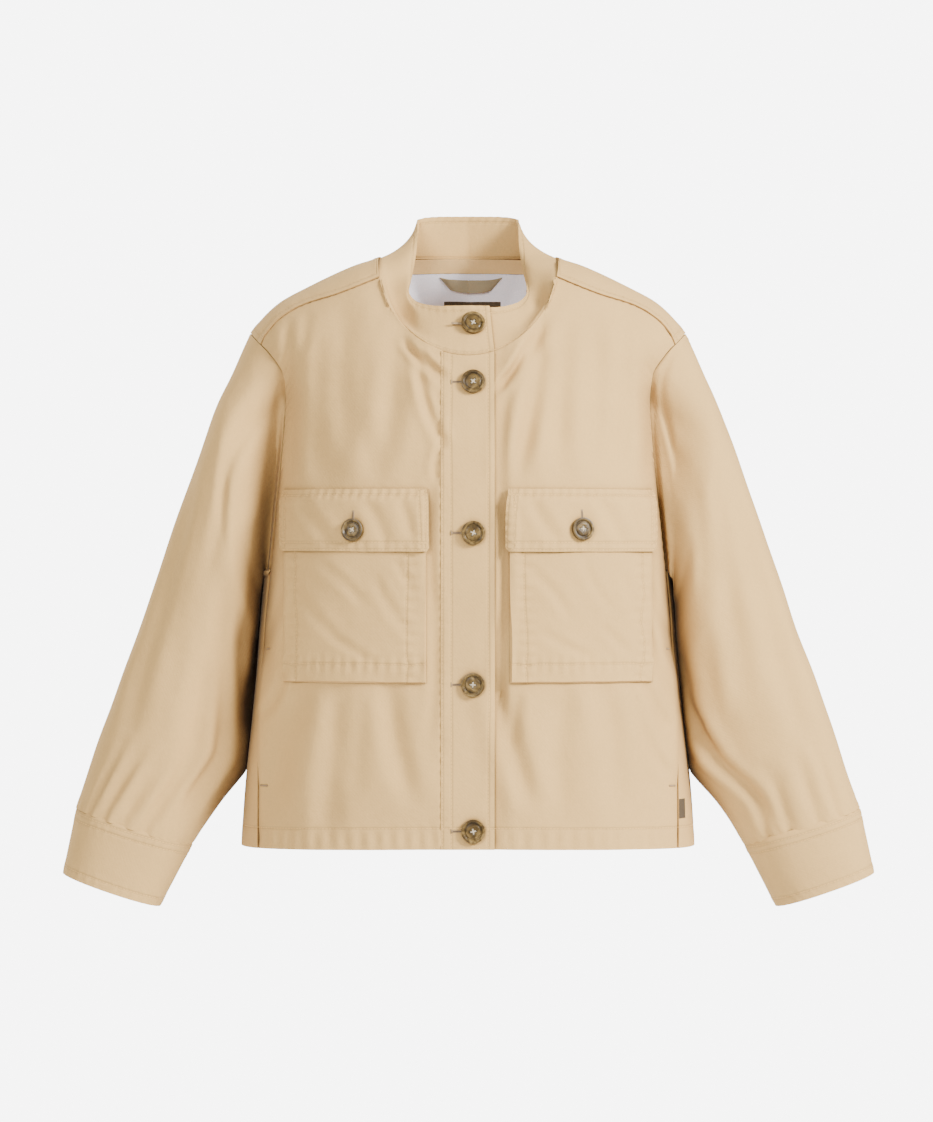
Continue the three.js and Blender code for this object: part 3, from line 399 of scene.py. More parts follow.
def twill(name, colour, pale=1.0):
    """Brushed cotton twill: a fine diagonal weave, uneven dye, soft sheen and rows of sunk stitches, with
    painted shade that darkens the colour in hollows and along the stitch grooves.
    """
    mat = bpy.data.materials.new(name)
    mat.use_nodes = True
    nodes, links = mat.node_tree.nodes, mat.node_tree.links
    surface = nodes["Principled BSDF"]
    place = nodes.new("ShaderNodeTexCoord")
    threads = nodes.new("ShaderNodeUVMap")

    def noise(scale, detail, source, stretch=None):
        tex = nodes.new("ShaderNodeTexNoise")
        tex.inputs["Scale"].default_value = scale
        tex.inputs["Detail"].default_value = detail
        if stretch is None:
            links.new(source, tex.inputs["Vector"])
        else:
            turn = nodes.new("ShaderNodeMapping")
            turn.inputs["Scale"].default_value = stretch
            links.new(source, turn.inputs["Vector"])
            links.new(turn.outputs["Vector"], tex.inputs["Vector"])
        return tex.outputs["Fac"]

    def calc(kind, a, b=None, c=None):
        node = nodes.new("ShaderNodeMath")
        node.operation = kind
        for socket, value in zip(node.inputs, (a, b, c)):
            if value is None:
                continue
            if isinstance(value, (int, float)):
                socket.default_value = value
            else:
                links.new(value, socket)
        return node.outputs[0]

    def near(value, reach):
        ramp = nodes.new("ShaderNodeMapRange")
        ramp.interpolation_type = "SMOOTHSTEP"
        ramp.inputs["From Max"].default_value = reach
        ramp.inputs["To Min"].default_value = 1
        ramp.inputs["To Max"].default_value = 0
        links.new(calc("ABSOLUTE", value), ramp.inputs["Value"])
        return ramp.outputs["Result"]

    diagonal = nodes.new("ShaderNodeTexWave")
    diagonal.bands_direction = "DIAGONAL"
    diagonal.inputs["Scale"].default_value = 190
    diagonal.inputs["Distortion"].default_value = 1.2
    diagonal.inputs["Detail"].default_value = 1.0
    links.new(threads.outputs["UV"], diagonal.inputs["Vector"])
    warp = noise(1, 2, threads.outputs["UV"], (2200, 130, 1))
    weft = noise(1, 2, threads.outputs["UV"], (130, 2200, 1))
    dye = noise(9, 3, place.outputs["Object"])
    fleck = noise(420, 2, place.outputs["Object"])

    split = nodes.new("ShaderNodeSeparateXYZ")
    links.new(threads.outputs["UV"], split.inputs["Vector"])
    groove, thread = None, None
    for slot_name, axis in (("stitch_a", "Y"), ("stitch_b", "Y"), ("stitch_c", "X"), ("stitch_d", "X")):
        read = nodes.new("ShaderNodeAttribute")
        read.attribute_name = slot_name
        value = read.outputs["Fac"]
        sunk = near(value, 2.4)
        dash = calc("LESS_THAN", calc("FRACT", calc("MULTIPLY", split.outputs[axis], 1000 / 3.4)), 0.74)
        seen = calc("MULTIPLY", calc("LESS_THAN", calc("ABSOLUTE", value), 0.42), dash)
        groove = sunk if groove is None else calc("MAXIMUM", groove, sunk)
        thread = seen if thread is None else calc("MAXIMUM", thread, seen)

    shade = calc("ADD", calc("MULTIPLY", dye, 0.16), calc("MULTIPLY", fleck, 0.10))
    shade = calc("ADD", shade, calc("MULTIPLY", calc("ADD", warp, weft), 0.09))
    shade = calc("ADD", shade, 0.76)
    # Painted shade: the colour darkens along each sunk row of stitches, where the groove lies in shade.
    shade = calc("SUBTRACT", shade, calc("MULTIPLY", groove, 0.12))
    # pale scales the whole tone; the facing copy uses it to paint light onto the same twill.
    shade = calc("MULTIPLY", shade, pale)
    grey = nodes.new("ShaderNodeCombineColor")
    for channel in ("Red", "Green", "Blue"):
        links.new(shade, grey.inputs[channel])
    tint = multiplied(mat, colour, grey.outputs["Color"])
    # Painted shade: ambient occlusion darkens the colour in folds, in crevices, under flaps and pockets
    # and between the sleeves and the body, where shade falls.
    hollow = nodes.new("ShaderNodeAmbientOcclusion")
    hollow.samples = 8
    hollow.inputs["Distance"].default_value = 0.06
    painted_hollow_shade = nodes.new("ShaderNodeValToRGB")
    painted_hollow_shade.color_ramp.elements[0].position = 0.10
    painted_hollow_shade.color_ramp.elements[0].color = (0.085, 0.058, 0.042, 1)
    painted_hollow_shade.color_ramp.elements[1].position = 0.94
    painted_hollow_shade.color_ramp.elements[1].color = (1, 1, 1, 1)
    middle = painted_hollow_shade.color_ramp.elements.new(0.46)
    middle.color = (0.50, 0.46, 0.43, 1)
    nearly = painted_hollow_shade.color_ramp.elements.new(0.74)
    nearly.color = (0.87, 0.86, 0.85, 1)
    links.new(hollow.outputs["AO"], painted_hollow_shade.inputs["Fac"])
    tint = multiplied(mat, tint, painted_hollow_shade.outputs["Color"])
    sewn = nodes.new("ShaderNodeMix")
    sewn.data_type = "RGBA"
    links.new(thread, sewn.inputs["Factor"])
    links.new(tint, sewn.inputs["A"])
    sewn.inputs["B"].default_value = (colour[0] * 1.12, colour[1] * 1.1, colour[2] * 1.05, 1)
    links.new(sewn.outputs["Result"], surface.inputs["Base Color"])
    surface.inputs["Roughness"].default_value = 0.88
    surface.inputs["Sheen Weight"].default_value = 0.12
    surface.inputs["Sheen Tint"].default_value = (0.95, 0.78, 0.55, 1)
    surface.inputs["Sheen Roughness"].default_value = 0.5
    surface.inputs["Specular IOR Level"].default_value = 0.1

    relief = calc("MULTIPLY", diagonal.outputs["Fac"], 0.035)
    relief = calc("ADD", relief, calc("MULTIPLY", calc("ADD", warp, weft), 0.10))
    relief = calc("ADD", relief, calc("MULTIPLY", fleck, 0.12))
    relief = calc("ADD", relief, calc("MULTIPLY", noise(46, 5, place.outputs["Object"]), 1.7))
    relief = calc("SUBTRACT", relief, calc("MULTIPLY", groove, 0.6))
    relief = calc("ADD", relief, calc("MULTIPLY", thread, 0.35))
    bump = nodes.new("ShaderNodeBump")
    bump.inputs["Strength"].default_value = 0.9
    bump.inputs["Distance"].default_value = 0.0007
    links.new(relief, bump.inputs["Height"])
    links.new(bump.outputs["Normal"], surface.inputs["Normal"])
    return mat


SAND = (0.70, 0.434, 0.158)
sand_twill = twill("sand_twill", SAND)


def lower_back(high, wide, side):
    v = np.linspace(0, 1, high + 1)[:, None]
    z_side = lerp(hem_z(HEM_CORNER_X), ARMPIT_Z, v)
    seam = side_turn(curve(TRUNK, z_side, 4)) + 1.2 / curve(TRUNK, z_side, 2)
    back = np.pi - side_turn(ARMPIT_SEAM)
    under = np.linspace(0, 1, side + 1)[None, :-1]
    over = np.linspace(0, 1, wide + 1)[None, :]
    half = np.concatenate([lerp(seam, back, under), lerp(back, np.pi, over) + 0 * v], axis=1)
    x = curve(TRUNK, z_side, 1) * signed_power(np.sin(half), 2 / SECTION_POWER)
    z = lerp(hem_z(x), ARMPIT_Z, v)
    return np.concatenate([trunk_ring(-half, z), trunk_ring(half, z)[:, -2::-1]], axis=1)


def upper_back(high, wide):
    back = np.pi - side_turn(ARMPIT_SEAM)
    neck_share = 0.571
    seam_turn = math.asin(SHOULDER_SEAM[0][0] / NECK_HALF) + SEAM / NECK_HALF
    u = np.linspace(1, 0, wide + 1)
    v = np.linspace(0, 1, high + 1)[:, None]
    turn = lerp(np.pi, seam_turn, np.minimum(u / neck_share, 1))
    neck_x, neck_z = neckline(turn)
    fore = ridge_turn(neck_x, neck_z, True)
    neck_t = np.where(turn < np.pi / 2, fore, ridge_turn(neck_x, neck_z, False))
    seam_x = lerp(SHOULDER_SEAM[0][0], SEAM_END_X, np.clip((u - neck_share) / (1 - neck_share), 0, 1))
    seam_t = ridge_turn(seam_x, curve(SHOULDER_SEAM, seam_x) + 1.0, True)
    top = np.where(u < neck_share, neck_x, seam_x), np.where(u < neck_share, neck_t, seam_t)
    bottom = ARMPIT_HALF * signed_power(np.sin(lerp(np.pi, back, u)), 2 / SECTION_POWER), np.pi + 0 * u
    over = 0.86
    z_back = lerp(ARMPIT_Z, ARM_TOP_Z, np.sin(np.minimum(v / over, 1) * np.pi / 2))
    z_front = lerp(ARM_TOP_Z, SEAM_END_Z + SEAM, np.clip((v - over) / (1 - over), 0, 1) ** 2)
    z_edge = np.where(v < over, z_back, z_front)
    side = edge_x(z_edge), np.where(
        v < over, ridge_turn(edge_x(z_edge), z_edge, False), ridge_turn(edge_x(z_edge), z_edge, True)
    )
    neck_end = neck_t[-1]
    centre = 0 * v, lerp(np.pi, neck_end, v)
    corner = (
        u * lerp(bottom[0][0], top[0][0], v),
        lerp(lerp(np.pi, neck_end, v), lerp(np.pi, top[1][0], v), u),
    )
    x, t = (
        0 * u + lerp(bottom[k][None], top[k][None], v) + lerp(centre[k], side[k], u[None]) - corner[k]
        for k in (0, 1)
    )
    for grid in (x, t):
        for _ in range(60):
            across = grid[1:-1, :-2] + grid[1:-1, 2:]
            grid[1:-1, 1:-1] = (across + grid[:-2, 1:-1] + grid[2:, 1:-1]) / 4
    return np.concatenate([over_ridge(-x, t), over_ridge(x, t)[:, -2::-1]], axis=1)


def backed(points):
    """Ripples along the hem of the back."""
    u, v = run_lengths(points)
    return puckered(points, grid_normals(points), v - 10, u, 0.3, 9, 11)


below = backed(lower_back(84, 56, 18))
above = upper_back(120, 56)
above_u, above_v = run_lengths(above)
top_away = above_v[-1:] - above_v
side_away = np.minimum(above_u, above_u[:, -1:] - above_u)
above = puckered(above, grid_normals(above), top_away - 6, above_u, 0.6, 5, 8.5)
above = puckered(above, grid_normals(above), side_away - 8, above_v, 0.45, 6, 9.5)
back_low = sew_sheet("back_low", below, TWILL_THICK, [("bottom", 19.5)])
back = sew_sheet("back", above, TWILL_THICK, [("top", 5.5), ("left", 6), ("right", 6)])
back_low.data.materials.append(sand_twill)
back.data.materials.append(sand_twill)
back.select_set(True)
back_low.select_set(True)
bpy.context.view_layer.objects.active = back
bpy.ops.object.join()
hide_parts("back")
# The fronts: two panels of the same twill from the placket to the side seams and armholes. The left
# front runs on under the placket band. Both are turned up at the hem and stitched 2 cm above it.

PLACKET_LEFT = -24.7
PLACKET_RIGHT = 24.2
UNDER_EDGE = -20
UNDER_DEPTH = 2.6
# the mouth of the pocket in each side seam, and how far it gapes
MOUTH_TOP = -362
MOUTH_END = -489
MOUTH_GAPE = 3.6


def neck_front_z(x):
    return NECK_Z - NECK_DROP * np.sqrt(np.maximum(0, 1 - (x / NECK_HALF) ** 2))


def front_flat(inner, wide, high):
    """Places of a front panel, whose last column and row are the seam allowance under the back."""
    u = np.concatenate([[-0.02], np.linspace(0, 1, wide + 1), [1.03]])[None, :]
    v = 1 - (1 - np.linspace(0, 1, high + 1)) ** 1.25
    v = np.concatenate([v, [1.007]])[:, None]
    hem_side = hem_z(HEM_CORNER_X)
    start = max(0, inner)
    neck_z = neck_front_z(start)
    share = 0.5
    first, last = math.asin(start / NECK_HALF), math.asin(SHOULDER_SEAM[0][0] / NECK_HALF)
    turn = lerp(first, last, np.minimum(u / share, 1))
    seam_x = lerp(SHOULDER_SEAM[0][0], SEAM_END_X, np.clip((u - share) / (1 - share), 0, 1))
    top_x = np.where(u < share, NECK_HALF * np.sin(turn), seam_x)
    top_z = np.where(u < share, NECK_Z - NECK_DROP * np.cos(turn), curve(SHOULDER_SEAM, seam_x))
    if inner < 0:
        top_x = np.where(u < share, lerp(inner, top_x, ease(u / 0.12)), top_x)
    low_x = lerp(inner, edge_x(hem_side), u)
    side_z = lerp(hem_side, SEAM_END_Z, v)
    x = lerp(low_x, top_x, v) + lerp(inner + 0 * v, edge_x(side_z), u)
    x = x - lerp(inner, lerp(edge_x(hem_side), SEAM_END_X, v), u)
    z = lerp(hem_z(low_x), top_z, v) + lerp(lerp(hem_z(inner), neck_z, v), side_z, u)
    z = z - lerp(lerp(hem_z(inner), neck_z, v), lerp(hem_side, SEAM_END_Z, v), u)
    return x, z


def sew_front(name, side, inner, depth_at):
    x, z = front_flat(inner, 64, 150)
    under = 0 * x
    under[:, -1] = 1.9
    under[:, 0] = 1.9
    under[-1] = np.where(np.arange(under.shape[1]) < 34, 3.2, 1.9)
    middle = (MOUTH_TOP + MOUTH_END) / 2
    gape = np.clip(1 - ((z - middle) / (MOUTH_TOP - middle)) ** 2, 0, 1)
    gape = gape * MOUTH_GAPE * np.exp(-(((edge_x(z) - x) / 9) ** 2)) * (x <= edge_x(z) + 0.1)
    points = on_front(side * x, z, gape - depth_at(x) - under)
    points = points[:, ::-1] if side < 0 else points
    u, v = run_lengths(points)
    n = grid_normals(points)
    outer = u if side < 0 else u[:, -1:] - u
    points = puckered(points, n, v - 9, u, 0.8, 9, 13.5)
    points = puckered(points, n, np.where(z[:, ::side] > -285, outer - 10, 40), v, 0.4, 5, 9.5)
    points = puckered(points, n, v[-1:] - v - 9, u, 0.3, 4, 8.5)
    piece = sew_sheet(name, points, TWILL_THICK, [("bottom", 19.5)])
    piece.data.materials.append(sand_twill)
    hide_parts(name)


sew_front("front_right", -1, -PLACKET_LEFT + SEAM, lambda x: 0 * x)
sew_front("front_left", 1, UNDER_EDGE, lambda x: UNDER_DEPTH * (1 - ease((x - PLACKET_RIGHT - 2) / 14)))
# The sleeves: tubes of twill, set into the armholes with a puckered seam and hanging a little
# forward, with long soft folds down their length and short drag creases above the cuffs.

# share of the length, outer line x and z, inner line x and z, half depth, y of the middle
SLEEVE = [
    (0, 208, -66, 193, -292, 50, -1),
    (0.08, 219, -90, 196.5, -303, 54, -2),
    (0.2, 236, -129, 192.5, -325, 59, -4),
    (0.35, 258, -190, 194.2, -358, 61, -5),
    (0.5, 283, -262, 197, -395, 58, -6),
    (0.65, 310, -340, 201, -436, 53, -7),
    (0.8, 336, -411, 205.5, -470, 48, -8),
    (0.9, 352, -457, 235, -509, 45, -9),
    (1, 370, -513, 262, -548, 41, -10),
]
SLEEVE_POWER = 2.25
REST_GAP = 1.8
REST_FROM = -294
KEEL_BACK = 17
# side, turn in degrees and share of the length at both ends, half width, depth, ridge beside it
SLEEVE_CREASES = [
    (-1, 62, 0.18, 62, 0.62, 22, 4.0, 0),
    (-1, 122, 0.40, 122, 0.92, 22, 5.0, 0),
    (-1, 250, 0.30, 250, 0.85, 26, 5.0, 0),
    (1, 70, 0.28, 70, 0.74, 22, 4.5, 0),
    (1, 118, 0.52, 118, 0.98, 20, 4.5, 0),
    (1, 236, 0.24, 236, 0.80, 26, 5.0, 0),
    (-1, 98, 0.42, 104, 0.86, 9, 2.6, 1.5),
    (-1, 112, 0.54, 132, 0.93, 8, 2.2, 1.3),
    (-1, 148, 0.12, 146, 0.52, 10, -2.0, -0.6),
    (-1, 46, 0.06, 80, 0.34, 9, 2.0, 1.0),
    (-1, 160, 0.14, 160, 0.66, 18, 8.0, 0),
    (-1, 34, 0.40, 52, 0.84, 11, 1.8, 0.9),
    (-1, 78, 0.34, 86, 0.60, 8, 1.2, 0.7),
    (-1, 72, 0.88, 62, 0.995, 5.5, 1.7, 0.9),
    (-1, 88, 0.89, 82, 0.995, 5, 1.5, 0.9),
    (-1, 108, 0.87, 100, 0.995, 5.5, 1.7, 0.9),
    (-1, 52, 0.90, 46, 0.995, 5, 1.2, 0.7),
    (1, 36, 0.02, 78, 0.10, 8, 2.8, 0.5),
    (1, 88, 0.16, 100, 0.36, 9, 0.9, 0.3),
    (1, 142, 0.72, 116, 0.93, 7, 2.6, 1.4),
    (1, 150, 0.60, 128, 0.80, 7, 1.8, 1.0),
    (1, 152, 0.42, 142, 0.74, 10, 2.0, 0.7),
    (1, 44, 0.36, 58, 0.84, 11, 1.7, 0.8),
    (1, 84, 0.44, 92, 0.70, 9, 1.4, 0.7),
    (1, 120, 0.92, 128, 0.995, 5, 1.5, 0.9),
    (1, 96, 0.90, 102, 0.995, 5, 1.6, 0.9),
    (1, 74, 0.89, 78, 0.995, 5.5, 1.5, 0.8),
    (1, 54, 0.91, 56, 0.995, 5, 1.2, 0.7),
    (-1, 214, 0.12, 262, 0.40, 11, 2.6, 1.2),
    (1, 210, 0.14, 258, 0.44, 11, 2.6, 1.2),
    (-1, 300, 0.46, 272, 0.90, 11, 2.2, 1.1),
    (1, 296, 0.50, 268, 0.92, 11, 2.2, 1.1),
    (-1, 226, 0.56, 240, 0.96, 10, 2.0, 1.0),
    (1, 222, 0.58, 238, 0.96, 10, 2.0, 1.0),
    (-1, 262, 0.88, 256, 0.995, 6, 1.5, 0.8),
    (1, 278, 0.88, 284, 0.995, 6, 1.5, 0.8),
]


def trunk_side(y, z):
    """How far out the trunk reaches at a depth y, below the armpits."""
    depth = np.where(y < 0, curve(TRUNK, z, 2), curve(TRUNK, z, 3))
    share = np.minimum(1, np.abs(y) / depth)
    return curve(TRUNK, z, 1) * (1 - share**SECTION_POWER) ** (1 / SECTION_POWER)


def armhole(count):
    """Even steps round the armhole, from the ridge down the front, under the arm and up the back."""
    k = np.linspace(0, 1, 121)
    z = lerp(ARM_TOP_Z, ARMPIT_Z, 1 - np.cos(k * np.pi / 2))
    turn = side_turn(ARMPIT_SEAM)
    share = np.linspace(0, 1, 49)[1:-1]
    under = trunk_ring(lerp(turn, np.pi - turn, share), ARMPIT_Z + 0 * share)
    line = np.concatenate([front_point(edge_x(z), z), under, back_point(edge_x(z), z)[::-1]])
    run = np.concatenate([[0], np.cumsum(np.linalg.norm(np.diff(line, axis=0), axis=1))])
    half = run[121 + 23]
    first = np.linspace(0, half, count // 2 + 1)[:-1]
    last = np.linspace(half, run[-1], count // 2 + 1)
    at = np.concatenate([first, last])
    return np.stack([np.interp(at, run, line[:, k]) for k in range(3)], axis=-1)


def sleeve_points(side, around, long):
    t = np.linspace(0, 1, long + 1)[:, None]
    ox, oz, ix, iz, depth, mid = (curve(SLEEVE, t, col) for col in range(1, 7))
    centre = np.stack([(ox + ix) / 2, mid, (oz + iz) / 2], axis=-1)
    across = np.stack([(ox - ix) / 2, 0 * ox, (oz - iz) / 2], axis=-1)
    hole = armhole(around)
    away = np.cross(across[0, 0], (0, -1, 0))
    away = away / np.linalg.norm(away) * np.sign(away[0])
    d = hole - centre[0]
    own_c = d @ across[0, 0] / (across[0, 0] @ across[0, 0])
    own_s = -d[:, 1] / depth[0, 0]
    turn = np.linspace(0, 2 * np.pi, around + 1)[None, :]
    mix = ease(t / 0.24)
    c = lerp(own_c[None], signed_power(np.cos(turn), 2 / SLEEVE_POWER), mix)
    s = lerp(own_s[None], signed_power(np.sin(turn), 2 / SLEEVE_POWER), mix)
    deg = np.degrees(turn) + 0 * t
    pull = 0 * deg
    for which, deg0, t0, deg1, t1, half, sunk, ridge in SLEEVE_CREASES:
        if which != side:
            continue
        line = lerp(deg0, deg1, np.clip((t - t0) / (t1 - t0), 0, 1))
        off = ((deg - line + 540) % 360 - 180) / half
        fade = ease((t - t0) / 0.14 + 0.5) * ease((t1 - t) / 0.14 + 0.5)
        pull = pull + fade * fold(off, sunk, ridge)
    soft = uneven(np.sin(turn) * 60 + 30 * side, t * 480) * ease(t / 0.1)
    size = np.sqrt((across**2).sum(-1) * c * c + (depth * s) ** 2)
    shrink = 1 - (pull - soft) / np.maximum(size, 20)
    points = centre + across * (c * shrink)[..., None]
    points[..., 1] -= s * shrink * depth
    keel = KEEL_BACK if side < 0 else 3
    points[..., 1] += keel * ((1 - c) / 2) ** 2 * ease(t / 0.2) * ease((1 - t) / 0.3)
    front_low = ease((deg - 38) / 70) * ease((186 - deg) / 30)
    back_low = ease((deg - 176) / 30) * ease((322 - deg) / 70)
    valley = ease(t / 0.04) * np.exp(-((np.maximum(t - 0.04, 0) / 0.085) ** 2))
    points[..., 1] += ((15 if side < 0 else -2) * front_low - 7 * back_low) * valley
    rise = (d @ away)[None] * (1 - mix) + 1.4 * (1 - ease(t / 0.15))
    points = points + away * rise[..., None]
    rest = trunk_side(points[..., 1], points[..., 2]) + REST_GAP * ease((REST_FROM - points[..., 2]) / 10)
    lying = (points[..., 2] < REST_FROM) & (points[..., 0] < rest)
    points[..., 0] = np.where(lying, rest, points[..., 0])
    points[:, -1] = points[:, 0]
    turned_in = points[:1] - away * 5 + (centre[:1] - points[:1]) * (0.045, 0.045, 0.022)
    points = np.concatenate([turned_in, points])
    return points * (side, 1, 1)


def sew_sleeve(name, side):
    points = sleeve_points(side, 132, 130)
    points = points[:, ::-1] if side > 0 else points
    points = points[::-1]
    u, v = run_lengths(points)
    n = grid_normals(points)
    head = v[-1:] - v
    points = puckered(points, n, np.where(head > 3, head - 11, 30), u, 0.5, 5, 9.5)
    points = puckered(points, n, v - 3, u, 0.5, 10, 10)
    points[:, -1] = points[:, 0]
    piece = sew_sheet(name, points, TWILL_THICK, [], loop=True)
    piece.data.materials.append(sand_twill)
    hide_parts(name)


sew_sleeve("sleeve_right", -1)
sew_sleeve("sleeve_left", 1)
# The cuffs: doubled bands of the same twill, about 6 cm deep, sewn to the ends of the sleeves with
# two rows of stitches and stitched once more near their own edge.

BAND_THICK = 1.8
CUFF_SEAM = (371, -514.5, 261.4, -548.8, 42, -10)
CUFF_END = (383.5, -574, 291, -606, 35, -12)


def sew_cuff(name, side):
    v = np.linspace(0, 1, 27)[:, None]
    turn = np.linspace(0, 2 * np.pi, 121)[None, :]
    ox, oz, ix, iz, depth, mid = (lerp(a, b, v) for a, b in zip(CUFF_SEAM, CUFF_END))
    c = signed_power(np.cos(turn), 2 / SLEEVE_POWER)
    s = signed_power(np.sin(turn), 2 / SLEEVE_POWER)
    soft = 1 + 0.008 * np.sin(2 * turn + side) * v + 0.006 * np.sin(3 * turn + 2.1 * side)
    x = side * ((ox + ix) / 2 + c * soft * (ox - ix) / 2)
    z = (oz + iz) / 2 + c * soft * (oz - iz) / 2
    points = np.stack([x, mid - s * soft * depth, z], axis=-1)
    middle = points[0].mean(axis=0)
    turned_in = points[:1] + (middle - points[:1]) * 0.05 + np.array((-side * 1.4, 0, 4.0))
    points = np.concatenate([turned_in, points])
    points = points[:, ::-1] if side > 0 else points
    points = points[::-1]
    u, far = run_lengths(points)
    n = grid_normals(points)
    points = puckered(points, n, far[-1:] - far - 12, u, 0.5, 6, 8)
    points = puckered(points, n, far - 6, u, 0.45, 6, 9)
    points[:, -1] = points[:, 0]
    rows = [("bottom", 8), ("top", 6.6), ("top", 13)]
    piece = sew_sheet(name, points, BAND_THICK, rows, loop=True)
    piece.data.materials.append(sand_twill)
    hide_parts(name)


sew_cuff("cuff_right", -1)
sew_cuff("cuff_left", 1)
# The collar: a doubled stand band, about 5 cm high, that leans in round the neck. Its right end laps
# over the left end at the placket edge. It is topstitched all round, 6 mm from the edge.

COLLAR_THICK = 2.2
COLLAR_TOP = [
    (0, 0, -72, -43), (20, 24, -67, -43), (40, 45, -53, -39), (58, 55.5, -31, -26), (75, 52, -6, -5),
    (90, 48.5, 12, 20), (110, 48.5, 32, 39), (130, 49, 48, 49), (155, 30, 59, 53), (180, 0, 62, 54),
]
COLLAR_FLARE = 5
COLLAR_LAP = 2.9
# how far the foot is tucked under the body, all round and at the shoulders
COLLAR_TUCK = 2.6
COLLAR_TUCK_SIDE = 0.5
COLLAR_START = math.asin(PLACKET_RIGHT / NECK_HALF)
COLLAR_TURN = math.pi * 2 + COLLAR_START + math.asin(-UNDER_EDGE / NECK_HALF)


def collar_point(turn, share):
    wrapped = (turn + np.pi) % (2 * np.pi) - np.pi
    nx, nz = neckline(wrapped)
    front = (np.cos(wrapped) > 0)[..., None]
    base = np.where(front, front_point(nx, nz), back_point(nx, nz))
    deg = np.degrees(np.abs(wrapped))
    side = np.where(wrapped < 0, -1, 1)
    out, deep, high = (curve(COLLAR_TOP, deg, col) for col in (1, 2, 3))
    top = np.stack([side * out, deep, high], axis=-1)
    rise = (top - base) / np.linalg.norm(top - base, axis=-1, keepdims=True)
    base = base + rise * (1.3 + 1.3 * np.sin(wrapped) ** 2)[..., None]
    p = lerp(base, top, share[..., None])
    sag = COLLAR_FLARE * np.sin(wrapped) ** 2 * np.sin(np.pi * share)
    length = np.maximum(np.hypot(p[..., 0], p[..., 1]), 1)
    p[..., :2] -= p[..., :2] * (sag / length)[..., None]
    return p


u, share = np.meshgrid(np.linspace(0, 1, 241), np.concatenate([[-0.06], np.linspace(0, 1, 31)]))
turn = COLLAR_START - u * COLLAR_TURN
points = collar_point(turn, share)
deg = np.degrees(np.abs((turn + np.pi) % (2 * np.pi) - np.pi))
corner = ease((13 - np.abs(deg - 90)) / 7)[:, 1:-1, None]
for _ in range(14):
    points[:, 1:-1] = lerp(points[:, 1:-1], (points[:, 2:] + points[:, :-2]) / 2, 0.7 * corner)
n = grid_normals(points)
points = points + n * (COLLAR_LAP * ease((u - 0.84) / 0.09))[..., None]
wrapped = (turn + np.pi) % (2 * np.pi) - np.pi
roll = 1.5 * np.sin(3.1 * np.degrees(wrapped) / 14) * np.exp(-(((np.abs(wrapped) - 1.05) / 0.42) ** 2))
roll = roll + 0.8 * np.sin(np.degrees(np.abs(wrapped)) / 11 + 1) * (np.abs(wrapped) > 1.6)
points = points + n * (roll * np.sin(np.pi * np.clip(share * 0.9 + 0.08, 0, 1)))[..., None]
hollow_right = 4.5 * np.exp(-(((share - 0.16) / 0.2) ** 2))
hollow_right = hollow_right - 5.0 * np.exp(-(((share - 0.68) / 0.26) ** 2))
hollow_right = hollow_right * np.exp(-(((wrapped + 0.98) / 0.40) ** 2)) * ease((1.04 - share) / 0.2)
hollow_left = 3.0 * np.exp(-(((wrapped - 0.95) / 0.34) ** 2) - ((share - 0.30) / 0.22) ** 2)
points = points + n * ((hollow_right + hollow_left) * ease(share / 0.12))[..., None]
tuck = lerp(COLLAR_TUCK, COLLAR_TUCK_SIDE, ease((36 - np.abs(deg[0] - 82)) / 14))
points[0] = points[0] + n[0] * tuck[:, None]
far_u, far_v = run_lengths(points)
n = -grid_normals(points)
points = puckered(points, n, np.where(np.abs(turn) < 0.75, far_v - 2, 40), far_u, 0.3, 6, 8.5)
points = puckered(points, n, far_v[-1:] - far_v - 5, far_u, 0.32, 5, 8)
collar = sew_sheet(
    "collar", points, COLLAR_THICK,
    [("bottom", 5), ("top", 5.8), ("left", 5.2), ("right", 5.2)], turned=True,
)
# the lower row of stitches fades out round the back, where the seam has none
lower_row = np.empty(len(collar.data.vertices))
across = np.empty(len(collar.data.vertices) * 3)
collar.data.attributes["stitch_c"].data.foreach_get("value", lower_row)
collar.data.vertices.foreach_get("co", across)
lower_row += np.sign(lower_row) * 60 * ease((across[1::3] + 0.078) / 0.012)
collar.data.attributes["stitch_c"].data.foreach_set("value", lower_row)
collar.data.materials.append(sand_twill)
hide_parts("collar")
# The placket: a separate doubled band down the edge of the right front, which lies over the left
# one. It is sewn down along its inner side and topstitched 6 mm from its free edge.


def strip(x, z, lift):
    return on_front(x[None, :] + 0 * z, z, lift + 0 * z)


x = np.linspace(PLACKET_LEFT, PLACKET_RIGHT, 21)
v = np.linspace(0, 1, 161)[:, None]
z = lerp(hem_z(x)[None], neck_front_z(x)[None] - 0.8, v)
points = strip(x, z, 0.5)
far_u, far_v = run_lengths(points)
n = grid_normals(points)
points = puckered(points, n, far_u[:, -1:] - far_u - 5, far_v, 0.16, 4, 9)
points = puckered(points, n, far_u - 1, far_v, 0.3, 5, 10)
placket = sew_sheet(
    "placket", points, BAND_THICK, [("right", 5.8), ("left", 1.2), ("left", 9.5), ("bottom", 19.5)]
)
placket.data.materials.append(sand_twill)
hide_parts("placket")
# The chest pockets: patches of the same twill with turned edges that stand off the front, pressed
# and stitched 16 to 20 mm in. Each flap is doubled, sewn along its top and buttoned down.

POCKET = {"inner": 38, "outer": 170.5, "top": -228, "bottom": -392, "lift": 3.2}
FLAP = {"inner": 36.8, "outer": 171.5, "top": -214, "bottom": -271.5, "lift": 5.4}
PATCH_THICK = 1.2
RIM_LIFT = 0.8
FLAP_CORNER = 3.4
